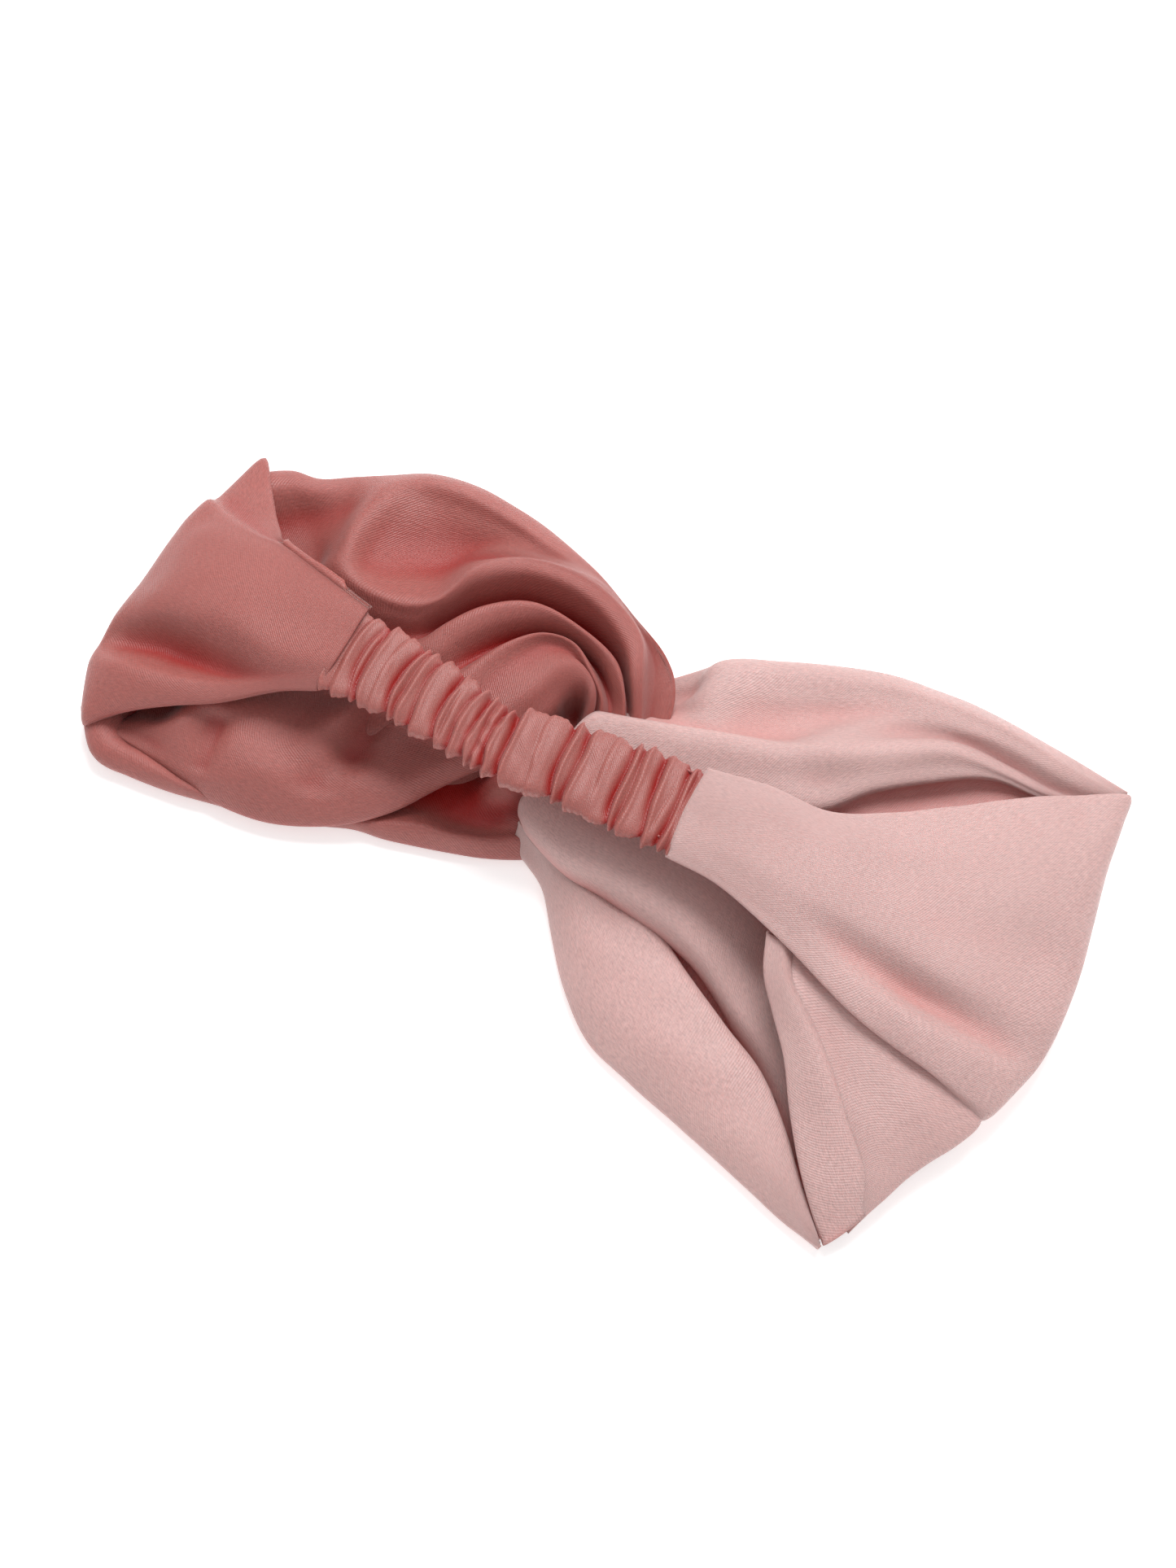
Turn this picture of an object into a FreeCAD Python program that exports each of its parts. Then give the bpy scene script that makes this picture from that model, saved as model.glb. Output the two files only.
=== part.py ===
"""Knotted satin headband, lying flat with its elastic back on top.

Two cloth panels, coral on the left and pink on the right, are hooked through each other
in the middle. Each is a strip folded double, so it has an inner and an outer layer. Both
layers turn round the folded end of the loop and come back over the top to the gathered
casing that holds the elastic. Lengths are millimetres. X runs along the loop, from the
coral end to the pink end, Z is up, and the origin is under the middle of the headband.
"""

import FreeCAD, Part
import math
import os

DRIVING_SIZES = {
    # the loop, lying flat
    "loop_half": 127.0,          # half the flat length
    "width_half": 70.0,          # half the greatest width, at the pink end
    "fold_radius": 8.0,          # outside radius of the folded ends
    "fold_height": 8.5,          # height of both fold axes
    "seam_height": 32.0,         # middle of the casing and of both end seams
    # cloth, one layer being a turned and pressed strip
    "layer": 1.2,
    "layer_gap": 0.4,
    "ply": 5.0,                  # outer layers where they lie slack on the table
    "puff": 9.0,                 # inner layers, which stand up in soft folds
    "ply_gap": 0.6,
    # gathered casing and elastic
    "casing_start": -67.4,
    "casing_end": 26.6,
    "casing_mid": -10.0,         # where the two halves of the casing slide in each other
    "casing_y": 4.0,
    "casing_width": 24.4,
    "casing_depth": 6.0,
    "casing_wall": 0.5,
    "slide_gap": 0.3,
    "elastic_width": 20.0,
    "elastic_depth": 1.5,
    "tongue_end": 20.0,          # how far the coral half reaches inside the pink half
    "elastic_end": 25.6,
    "seam_gap": 2.0,
    "seam_inset": 0.2,
    "seam_margin": 3.0,          # bare cloth beside the outermost stitches
    "tack_inset": 3.0,
    "open_gap": 5.0,             # room at the pink seam, where the loop is left open
    # knot, two bends hooked through each other
    "knot_x": -5.0,
    "knot_y": 27.0,
    "coral_bend_out": 11.4,
    "coral_bend_in": 5.8,
    "coral_bend_width": 14.0,
    "pink_bend_x": -13.0,
    "pink_bend_out": 17.0,
    "pink_bend_in": 9.0,
    "pink_bend_low": 7.4,
    "pink_bend_depth": 8.0,
    "coral_leg_end": -32.0,
    "pink_leg_end": 10.0,
    # thread
    "thread": 0.3,
    "thread_gap": 0.05,
    "stitch": 2.5,
    "stitch_space": 1.0,
    # blocks that trim the side panels
    "side_spare": 2.0,           # how far a panel is made past the greatest width, each side
    "trim_low": -5.0,
    "trim_height": 60.0,
    "seam_lift": 0.2,            # how far the panels' ends stand above the seam's middle line
}

# Where a fold's cloth stops under the end, in degrees round its axis from the level. It stops
# short of the table, so that it can roll under as the loop opens.
FOLD_STOP = 235

# Plan outlines, each a smooth closed curve through its points.
CORAL_OUTER_PLAN = [(-10, -10), (-30, -20), (-58, -28), (-86, -34), (-108, -32), (-115, -20),
                    (-116, 25), (-108, 45), (-82, 57), (-58, 58), (-40, 48), (-36, 32), (-31, 16),
                    (-14, 8)]
CORAL_INNER_PLAN = [(-34, 6), (-40, -14), (-58, -26), (-86, -32), (-108, -28), (-113, -10),
                    (-113, 28), (-104, 50), (-82, 62), (-60, 66), (-42, 61), (-34, 50), (-33, 28)]
PINK_OUTER_PLAN = [(-6, -14), (4, -30), (22, -45), (50, -58), (80, -66), (97, -65), (108, -45),
                   (117, -10), (117, 20), (111, 50), (102, 64), (80, 67), (46, 66), (18, 56),
                   (10, 40), (8, 12)]
PINK_INNER_PLAN = [(12, 4), (22, -20), (50, -40), (78, -56), (94, -58), (103, -40), (112, -10),
                   (112, 20), (107, 48), (96, 58), (70, 56), (40, 52), (16, 48), (12, 30)]
# Side panels in plan, from the end seam out to the fold.
CORAL_SIDE_PLAN = [(-69.4, 16.0), (-90, 26), (-104, 38), (-116, 50), (-127.5, 26), (-128, -21),
                   (-120, -35), (-100, -18), (-84, -10), (-69.4, -8.0)]
PINK_SIDE_PLAN = [(31.6, 16.0), (60, 30), (92, 60), (116, 70), (124, 40), (128, 15), (128, -5),
                  (119, -30), (110, -52), (99, -70), (72, -42), (52, -22), (31.6, -8.0)]


def make_sheet(doc):
    """The driving sizes, one per row, each with the alias that expressions use."""
    sheet = doc.addObject("Spreadsheet::Sheet", "Sizes")
    for row, (alias, value) in enumerate(DRIVING_SIZES.items(), start=1):
        sheet.set(f"A{row}", alias)
        sheet.set(f"B{row}", str(value))
        sheet.setAlias(f"B{row}", alias)
    doc.recompute()
    return sheet


def bind(obj, **formulas):
    """Ties properties to the sheet. A formula writes a size as its plain alias."""
    for prop, formula in formulas.items():
        words = formula.replace("(", " ( ").replace(")", " ) ").split()
        tied = " ".join("Sizes." + w if w in DRIVING_SIZES else w for w in words)
        obj.setExpression(prop.replace("__", "."), tied)


def origin_plane(body, role):
    return next(f for f in body.Origin.OriginFeatures if f.Role == role)


def closed_curve(points):
    curve = Part.BSplineCurve()
    curve.interpolate(Points=[FreeCAD.Vector(x, y, 0) for x, y in points], PeriodicFlag=True)
    return curve


def slab(doc, name, plan, low, depth, rounding=None):
    """A cloth layer that lies slack: its plan outline padded from one height to another."""
    body = doc.addObject("PartDesign::Body", name)
    outline = body.newObject("Sketcher::SketchObject", name + "_plan")
    outline.AttachmentSupport = [(origin_plane(body, "XY_Plane"), "")]
    outline.MapMode = "FlatFace"
    bind(outline, AttachmentOffset__Base__z=low)
    outline.addGeometry(closed_curve(plan), False)
    pad = body.newObject("PartDesign::Pad", name + "_pad")
    pad.Profile = outline
    bind(pad, Length=depth)
    doc.recompute()
    if rounding:
        top = max(range(len(pad.Shape.Edges)),
                  key=lambda i: pad.Shape.Edges[i].BoundBox.ZMin)
        soft = body.newObject("PartDesign::Fillet", name + "_soft_edge")
        soft.Base = (pad, [f"Edge{top + 1}"])
        bind(soft, Radius=rounding)
    return body


def prism(doc, sizes, name, plan):
    """A tall block with a straight-sided plan, which trims a side panel to its outline."""
    corners = [FreeCAD.Vector(x, y, sizes.trim_low) for x, y in plan]
    face = Part.Face(Part.makePolygon(corners + corners[:1]))
    outline = doc.addObject("Part::Feature", name)
    outline.Shape = face
    block = doc.addObject("Part::Extrusion", name + "_block")
    block.Base = outline
    block.Dir = FreeCAD.Vector(0, 0, 1)
    block.DirMode = "Custom"
    bind(block, LengthFwd="trim_height")
    block.Solid = True
    return block


def side_panel(doc, sizes, name, plan, side, depth_in, end_x):
    """One layer of a side panel: round the folded end, then up to the end seam.

    side is -1 at the coral end and 1 at the pink end. depth_in is how far the layer's
    outside lies inside the fold's outside, as a formula.
    """
    axis_x = side * (sizes.loop_half - sizes.fold_radius)
    wide = 2 * (sizes.width_half + sizes.side_spare)
    inset = 0.0 if depth_in == "0" else sizes.layer + sizes.layer_gap
    outside = sizes.fold_radius - inset
    run = abs(end_x - axis_x)
    rise = sizes.seam_height + sizes.layer / 2 - inset + sizes.seam_lift - sizes.fold_height
    reach = math.hypot(run, rise)
    slope = math.degrees(math.atan2(rise, run) - math.asin(outside / reach))
    straight = math.sqrt(reach**2 - outside**2)

    sweep = FOLD_STOP - 90 - slope
    turn = []
    for suffix, thinner in (("outside", ""), ("inside", " - layer")):
        drum = doc.addObject("Part::Cylinder", f"{name}_{suffix}")
        bind(drum, Radius=f"fold_radius - {depth_in}{thinner}", Height="2 * ( width_half + side_spare )")
        drum.Angle = sweep if suffix == "outside" else 360
        turn.append(drum)
    # The drum's own X axis points along the arm's normal, so that its sector ends at the arm.
    start = 90 + slope
    along_y = FreeCAD.Rotation(FreeCAD.Vector(1, 0, 0), 90)
    sector = FreeCAD.Rotation(FreeCAD.Vector(0, -1, 0), start if side < 0 else 180 - start - sweep)
    place = FreeCAD.Placement(FreeCAD.Vector(axis_x, wide / 2, sizes.fold_height), sector * along_y)
    for drum in turn:
        drum.Placement = place
    shell = doc.addObject("Part::Cut", name + "_turn")
    shell.Base, shell.Tool = turn

    arm = doc.addObject("Part::Box", name + "_arm")
    bind(arm, Width="2 * ( width_half + side_spare )", Height="layer")
    arm.Length = straight
    tilt = FreeCAD.Rotation(FreeCAD.Vector(0, -1, 0), slope if side < 0 else 180 - slope)
    normal = tilt.multVec(FreeCAD.Vector(0, 0, 1 if side < 0 else -1))
    below = outside - sizes.layer if side < 0 else outside
    corner = FreeCAD.Vector(axis_x, -wide / 2, sizes.fold_height) + normal * below
    arm.Placement = FreeCAD.Placement(corner, tilt)

    whole = doc.addObject("Part::Fuse", name + "_whole")
    whole.Base, whole.Tool = shell, arm
    panel = doc.addObject("Part::Common", name)
    panel.Base, panel.Tool = whole, prism(doc, sizes, name + "_outline", plan)
    return panel


def block(doc, name, low, high):
    """A box between two corners, each three formulas."""
    box = doc.addObject("Part::Box", name)
    for axis, side, a, b in zip("xyz", ("Length", "Width", "Height"), low, high):
        bind(box, **{f"Placement__Base__{axis}": a, side: f"( {b} ) - ( {a} )"})
    return box


def sleeve(doc, name, ends, half_width, half_depth, wall):
    """A flat tube along X, open at both ends, round the casing's middle line."""
    half_width, half_depth = f"( {half_width} )", f"( {half_depth} )"
    outer = block(doc, name + "_outer",
                  (ends[0], f"casing_y - {half_width}", f"seam_height - {half_depth}"),
                  (ends[1], f"casing_y + {half_width}", f"seam_height + {half_depth}"))
    inner = block(doc, name + "_hollow",
                  (f"{ends[0]} - 1", f"casing_y - {half_width} + {wall}",
                   f"seam_height - {half_depth} + {wall}"),
                  (f"{ends[1]} + 1", f"casing_y + {half_width} - {wall}",
                   f"seam_height + {half_depth} - {wall}"))
    tube = doc.addObject("Part::Cut", name)
    tube.Base, tube.Tool = outer, inner
    return tube


def casing(doc):
    """The casing as two halves: the pink half slides on a thinner tongue of the coral one."""
    half_width, half_depth = "casing_width / 2", "casing_depth / 2"
    tongue_in = "( casing_wall + slide_gap )"
    body_half = sleeve(doc, "casing_coral_body", ("casing_start", "casing_mid"),
                       half_width, half_depth, "casing_wall * 3")
    tongue = sleeve(doc, "casing_coral_tongue", ("casing_mid", "tongue_end"),
                    f"{half_width} - {tongue_in}", f"{half_depth} - {tongue_in}", "casing_wall * 1.4")
    coral_half = doc.addObject("Part::Fuse", "casing_coral_half")
    coral_half.Base, coral_half.Tool = body_half, tongue
    pink_half = sleeve(doc, "casing_pink_half", ("casing_mid + slide_gap", "casing_end"),
                       half_width, half_depth, "casing_wall")
    return [coral_half, pink_half]


def elastic(doc):
    band = block(doc, "elastic_band",
                 ("casing_start + 1", "casing_y - elastic_width / 2",
                  "seam_height - elastic_depth / 2"),
                 ("elastic_end", "casing_y + elastic_width / 2",
                  "seam_height + elastic_depth / 2"))
    return [band]


def knot(doc, sizes):
    """Each panel's bend with its two legs. The pink bend lies flat between the coral legs."""
    axis_z = sizes.coral_bend_out
    coral = doc.addObject("PartDesign::Body", "coral_knot_bend")
    section = coral.newObject("Sketcher::SketchObject", "coral_bend_section")
    section.AttachmentSupport = [(origin_plane(coral, "XZ_Plane"), "")]
    section.MapMode = "FlatFace"
    add_bend_profile(section, sizes.knot_x, axis_z, sizes.coral_bend_in,
                     sizes.coral_bend_out, sizes.coral_leg_end)
    pad = coral.newObject("PartDesign::Pad", "coral_bend_pad")
    pad.Profile = section
    pad.Midplane = True
    bind(pad, Length="coral_bend_width")
    bind(section, AttachmentOffset__Base__z="-1 * knot_y")

    pink = doc.addObject("PartDesign::Body", "pink_knot_bend")
    outline = pink.newObject("Sketcher::SketchObject", "pink_bend_plan")
    outline.AttachmentSupport = [(origin_plane(pink, "XY_Plane"), "")]
    outline.MapMode = "FlatFace"
    bind(outline, AttachmentOffset__Base__z="pink_bend_low")
    add_bend_profile(outline, sizes.pink_bend_x, sizes.knot_y, sizes.pink_bend_in,
                     sizes.pink_bend_out, sizes.pink_leg_end)
    lift = pink.newObject("PartDesign::Pad", "pink_bend_pad")
    lift.Profile = outline
    bind(lift, Length="pink_bend_depth")
    return [coral, pink]


def add_bend_profile(sketch, x, y, inside, outside, leg_end):
    """A U in the sketch's plane: a half ring about (x, y), its two legs running to leg_end."""
    way = 1 if leg_end > x else -1
    vector = FreeCAD.Vector
    start, stop = (math.pi / 2, 3 * math.pi / 2) if way > 0 else (-math.pi / 2, math.pi / 2)
    for radius in (outside, inside):
        circle = Part.Circle(vector(x, y, 0), vector(0, 0, 1), radius)
        sketch.addGeometry(Part.ArcOfCircle(circle, start, stop), False)
    for level in (1, -1):
        near, far = y + level * inside, y + level * outside
        sketch.addGeometry(Part.LineSegment(vector(x, far, 0), vector(leg_end, far, 0)), False)
        sketch.addGeometry(Part.LineSegment(vector(x, near, 0), vector(leg_end, near, 0)), False)
        sketch.addGeometry(Part.LineSegment(vector(leg_end, near, 0), vector(leg_end, far, 0)), False)


def stitch_row(doc, name, first, step, count, length):
    """A row of separate stitches along X, each a short straight thread."""
    along_x = FreeCAD.Rotation(FreeCAD.Vector(0, 1, 0), 90)
    row = []
    for i in range(count):
        stitch = doc.addObject("Part::Cylinder", f"{name}_{i}")
        bind(stitch, Radius="thread", Height=length)
        stitch.Placement = FreeCAD.Placement(first + step * i, along_x)
        row.append(stitch)
    group = doc.addObject("Part::Compound", name)
    group.Links = row
    return group


def seams(doc, sizes):
    """Threads: the two end seams, the tacks on the elastic and the casing's long seam."""
    stitches_across = 8
    across = sizes.casing_width - 2 * sizes.seam_margin
    spacing = FreeCAD.Vector(0, across / (stitches_across - 1), 0)
    first_y = sizes.casing_y - across / 2
    middle_z = sizes.seam_height
    tack_z = middle_z + sizes.elastic_depth / 2 + sizes.thread + sizes.thread_gap
    short = "seam_gap - 2 * seam_inset"
    rows = [
        ("coral_end_seam", sizes.casing_start - sizes.seam_gap + sizes.thread_gap, middle_z, short),
        ("pink_end_seam", sizes.casing_end + sizes.open_gap - sizes.seam_gap + 2 * sizes.seam_inset
         - sizes.thread_gap, middle_z, short),
        ("elastic_tack_coral", sizes.casing_start + sizes.tack_inset, tack_z, "stitch"),
        ("elastic_tack_pink", sizes.tongue_end + sizes.tack_inset / 3, tack_z, "stitch"),
    ]
    made = [stitch_row(doc, name, FreeCAD.Vector(x, first_y, z), spacing, stitches_across, length)
            for name, x, z, length in rows]

    under = middle_z - sizes.casing_depth / 2 - sizes.thread
    pitch = sizes.stitch + sizes.stitch_space
    runs = [("casing_seam_coral", sizes.casing_start + 1, sizes.casing_mid),
            ("casing_seam_pink", sizes.casing_mid + 2, sizes.casing_end)]
    for name, start, end in runs:
        first = FreeCAD.Vector(start, sizes.casing_y, under)
        made.append(stitch_row(doc, name, first, FreeCAD.Vector(pitch, 0, 0),
                               int((end - start) / pitch), "stitch"))
    return made


def build():
    doc = FreeCAD.newDocument("knotted_headband")
    sizes = make_sheet(doc)
    parts = [
        slab(doc, "coral_outer_layer", CORAL_OUTER_PLAN, "0", "ply", "1.5"),
        slab(doc, "coral_inner_layer", CORAL_INNER_PLAN, "ply + ply_gap", "puff", "3"),
        slab(doc, "pink_outer_layer", PINK_OUTER_PLAN, "0", "ply", "1.5"),
        slab(doc, "pink_inner_layer", PINK_INNER_PLAN, "ply + ply_gap", "puff * 0.6", "2"),
    ]
    parts += knot(doc, sizes)
    coral_end = sizes.casing_start - sizes.seam_gap
    pink_end = sizes.casing_end + sizes.open_gap
    for name, inset in (("outer", "0"), ("inner", "( layer + layer_gap )")):
        parts.append(side_panel(doc, sizes, f"coral_side_{name}", CORAL_SIDE_PLAN, -1, inset,
                                coral_end))
        parts.append(side_panel(doc, sizes, f"pink_side_{name}", PINK_SIDE_PLAN, 1, inset,
                                pink_end))
    parts += casing(doc) + elastic(doc) + seams(doc, sizes)
    doc.recompute()
    return doc, parts


def write(doc, parts):
    """Checks every object, then writes each sub-part to its own file."""
    failed = [o.Name for o in doc.Objects if {"Invalid", "Error"} & set(o.State)]
    bad = [p.Label for p in parts if p.Shape.isNull() or not p.Shape.isValid()]
    if failed or bad:
        raise RuntimeError(f"failed: {failed}, bad shapes: {bad}")
    os.makedirs("parts", exist_ok=True)
    for part in parts:
        part.Shape.exportStep(f"parts/{part.Label}.step")
        box = part.Shape.BoundBox
        print(f"{part.Label:22s} solids {len(part.Shape.Solids):2d} volume {part.Shape.Volume:9.1f}"
              f"  x {box.XMin:7.1f} {box.XMax:7.1f}  y {box.YMin:6.1f} {box.YMax:6.1f}"
              f"  z {box.ZMin:5.1f} {box.ZMax:5.1f}")


document, sub_parts = build()
write(document, sub_parts)
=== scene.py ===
"""Knotted satin headband, two-tone, with a gathered elastic back.

Laid out as an add-on: settings in property groups, one operator for each piece or group of
like pieces and one for the stage, and a panel that lists them. Cloth is given as rails in
millimetres, which are smoothed and lofted into a sheet and then given its own thickness.
"""

import math

import bmesh
import bpy
import numpy as np
from bpy.props import FloatProperty, FloatVectorProperty, PointerProperty
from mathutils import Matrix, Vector


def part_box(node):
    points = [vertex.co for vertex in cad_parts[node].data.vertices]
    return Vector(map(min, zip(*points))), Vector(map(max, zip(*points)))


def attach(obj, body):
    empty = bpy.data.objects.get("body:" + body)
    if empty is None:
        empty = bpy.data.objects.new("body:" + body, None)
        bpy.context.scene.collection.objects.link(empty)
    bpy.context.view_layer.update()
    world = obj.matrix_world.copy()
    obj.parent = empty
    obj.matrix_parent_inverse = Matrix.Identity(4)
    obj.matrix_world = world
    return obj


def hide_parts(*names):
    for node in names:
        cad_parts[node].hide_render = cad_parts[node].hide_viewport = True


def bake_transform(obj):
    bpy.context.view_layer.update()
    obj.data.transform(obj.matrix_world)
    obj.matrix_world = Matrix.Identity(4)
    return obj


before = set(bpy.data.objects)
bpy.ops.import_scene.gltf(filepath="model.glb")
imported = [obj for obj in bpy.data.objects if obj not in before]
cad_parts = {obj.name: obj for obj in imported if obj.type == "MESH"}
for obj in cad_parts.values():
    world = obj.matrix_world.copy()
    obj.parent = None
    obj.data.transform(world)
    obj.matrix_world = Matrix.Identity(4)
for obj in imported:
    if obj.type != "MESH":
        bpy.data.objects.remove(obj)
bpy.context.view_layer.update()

bl_info = {
    "name": "Knotted headband",
    "version": (1, 0, 0),
    "blender": (4, 5, 0),
    "location": "3D View > Sidebar > Headband",
    "description": "Builds a two-tone knotted satin headband around its packed frame",
    "category": "Object",
}

MM = 0.001
TABLE_REACH = 1.2 * MM   # cloth nearer the table than this is pressed flat above it
FLOOR_HALF_WIDTH = 4.0   # metres
RAIL_SAMPLES = 24        # places between two rails at which the curves across them are measured
RELIEF = 0.3 * MM        # height of the weave's relief
WALL_LIMIT = 1.5         # the most that the cloth's thickness grows at a sharp fold


# ---------------------------------------------------------------- settings

class HeadbandCloth(bpy.types.PropertyGroup):
    """Sizes of the cloth."""
    thickness: FloatProperty(name="Thickness", description="One layer of turned satin",
                             default=0.9 * MM, unit="LENGTH")
    step: FloatProperty(name="Mesh step", description="Distance between the vertices of a sheet",
                        default=1.0 * MM, unit="LENGTH")
    ripple: FloatProperty(name="Ripple", description="Height of the cloth's own unevenness",
                          default=0.22 * MM, unit="LENGTH")


class HeadbandColours(bpy.types.PropertyGroup):
    """Colours of the satin, the elastic and the thread."""
    coral: FloatVectorProperty(name="Coral", description="Coral satin", subtype="COLOR",
                               default=(0.40, 0.112, 0.096))
    pink: FloatVectorProperty(name="Pink", description="Pink satin", subtype="COLOR",
                              default=(0.64, 0.40, 0.38))
    casing: FloatVectorProperty(name="Casing", description="Satin of the gathered casing",
                                subtype="COLOR", default=(0.40, 0.115, 0.098))
    elastic: FloatVectorProperty(name="Elastic", description="Woven elastic", subtype="COLOR",
                                 default=(0.80, 0.76, 0.72))
    thread: FloatVectorProperty(name="Thread", description="Sewing thread", subtype="COLOR",
                                default=(0.42, 0.11, 0.10))


class HeadbandStage(bpy.types.PropertyGroup):
    """The floor, the lights and the camera."""
    lens: FloatProperty(name="Lens", description="Focal length, in millimetres", default=85.0)
    eye: FloatVectorProperty(name="Eye", description="Where the camera stands", subtype="XYZ",
                             unit="LENGTH", default=(0.1660, -0.3193, 0.8372))
    aim: FloatVectorProperty(name="Aim", description="What the camera looks at", subtype="XYZ",
                             unit="LENGTH", default=(-0.0014, 0.0063, 0.0150))
    sky: FloatProperty(name="Sky", description="Strength of the light from all round",
                       default=0.55)
    key: FloatProperty(name="Key light", description="Power of the large soft light", unit="POWER",
                       default=15.0)


# ---------------------------------------------------------------- curves and sheets

def through(points, knots, wanted):
    """Smooth values at the wanted knots, passing through every given point."""
    slopes = np.gradient(points, knots, axis=0)
    i = np.clip(np.searchsorted(knots, wanted, side="right") - 1, 0, len(knots) - 2)
    shape = (-1,) + (1,) * (points.ndim - 1)
    width = (knots[i + 1] - knots[i]).reshape(shape)
    t = (wanted - knots[i]).reshape(shape) / width
    near, far = points[i], points[i + 1]
    rise = (t**3 - 2 * t**2 + t) * slopes[i] + (t**3 - t**2) * slopes[i + 1]
    return near + (3 * t**2 - 2 * t**3) * (far - near) + width * rise


def knots_of(gaps):
    """Where points this far apart stand along a curve, closer together than their distance."""
    return np.r_[0, np.cumsum(np.sqrt(gaps) + 1e-4)]


def evenly(samples, count):
    """The samples, taken again at even steps of their mean travel."""
    travel = np.linalg.norm(np.diff(samples, axis=0), axis=-1)
    if travel.ndim > 1:
        travel = travel.mean(axis=tuple(range(1, travel.ndim)))
    reach = np.r_[0, np.cumsum(travel)]
    wanted = np.linspace(0, reach[-1], count)
    i = np.clip(np.searchsorted(reach, wanted, side="right") - 1, 0, len(reach) - 2)
    share = ((wanted - reach[i]) / np.maximum(reach[i + 1] - reach[i], 1e-9))
    share = share.reshape((-1,) + (1,) * (samples.ndim - 1))
    return samples[i] * (1 - share) + samples[i + 1] * share


def loft(rails, step):
    """A sheet through the rails, which have the same number of points: an array of points."""
    net = np.array(rails, float)
    for axis in (1, 0):
        net = np.moveaxis(net, axis, 0)
        gaps = np.linalg.norm(np.diff(net, axis=0), axis=-1).mean(axis=1)
        knots = knots_of(gaps)
        dense = through(net, knots, np.linspace(0, knots[-1], RAIL_SAMPLES * len(knots)))
        length = np.linalg.norm(np.diff(dense, axis=0), axis=-1).sum(axis=0).max()
        net = np.moveaxis(evenly(dense, max(4, int(length / step) + 1)), 0, axis)
    return net


def line(points, count=60):
    """Points along a smooth curve, evenly spaced."""
    p = np.array(points, float)
    knots = knots_of(np.linalg.norm(np.diff(p, axis=0), axis=1))
    return evenly(through(p, knots, np.linspace(0, knots[-1], 12 * count)), count)


def fold(sheet, path, height, left, right):
    """Raises, or with a negative height sinks, the sheet along a path given in plan.

    left and right are the fold's reach on each side of the path, in millimetres, seen along it.
    """
    way = line([(x, y, 0) for x, y in path])[:, :2]
    run = np.gradient(way, axis=0)
    flat = sheet[..., :2].reshape(-1, 2)
    apart = flat[:, None, :] - way[None, :, :]
    nearest = (apart**2).sum(axis=2).argmin(axis=1)
    off = apart[np.arange(len(flat)), nearest]
    side = run[nearest, 0] * off[:, 1] - run[nearest, 1] * off[:, 0]
    reach = np.where(side > 0, left, right)
    along = nearest / (len(way) - 1)
    ends = np.clip(np.minimum(along, 1 - along) / 0.2, 0, 1)
    bump = height * np.exp(-(np.linalg.norm(off, axis=1) / reach) ** 2) * ends * ends * (3 - 2 * ends)
    sheet[..., 2] += bump.reshape(sheet.shape[:2])


def ripples(sheet, height, size, seed):
    """The small unevenness of limp cloth, along the sheet's own directions."""
    rng = np.random.default_rng(seed)
    rise = np.zeros(sheet.shape[:2])
    for _ in range(14):
        turn, phase = rng.uniform(0, 2 * math.pi, 2)
        wave = 2 * math.pi / (size * rng.uniform(0.7, 1.8))
        rise += np.sin((sheet[..., 0] * math.cos(turn) + sheet[..., 1] * math.sin(turn)) * wave + phase)
    sheet[..., 2] += height * rise / math.sqrt(14)


def spread(values, reach):
    """The values, averaged over a soft patch that many cells wide in both directions."""
    weights = np.exp(-np.linspace(-2, 2, 4 * reach + 1) ** 2)
    for axis in (0, 1):
        values = np.apply_along_axis(
            lambda row: np.convolve(np.pad(row, 2 * reach, mode="edge"), weights / weights.sum(), "valid"),
            axis, values)
    return values


def hollows(sheet):
    """How deep each point lies below the cloth round it: 1 at the bottom of a dip, below 0 on a crest. It
    is the amount of painted shade that the satin mixes into its colour.
    """
    z = sheet[..., 2]
    near, wide = spread(z, 3) - z, spread(z, 7) - z
    full_near, full_wide = 3.0, 4.5   # millimetres at which each alone makes a full hollow
    return np.clip(near / full_near + wide / full_wide, -1, 1)


def painted_shade_across(sheet, start, end, most):
    """Painted shade that grows to most between two shares of the way across the sheet."""
    share = np.linspace(0, 1, len(sheet))[:, None]
    t = np.clip((share - start) / (end - start), 0, 1)
    return most * t * t * (3 - 2 * t)


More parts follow.
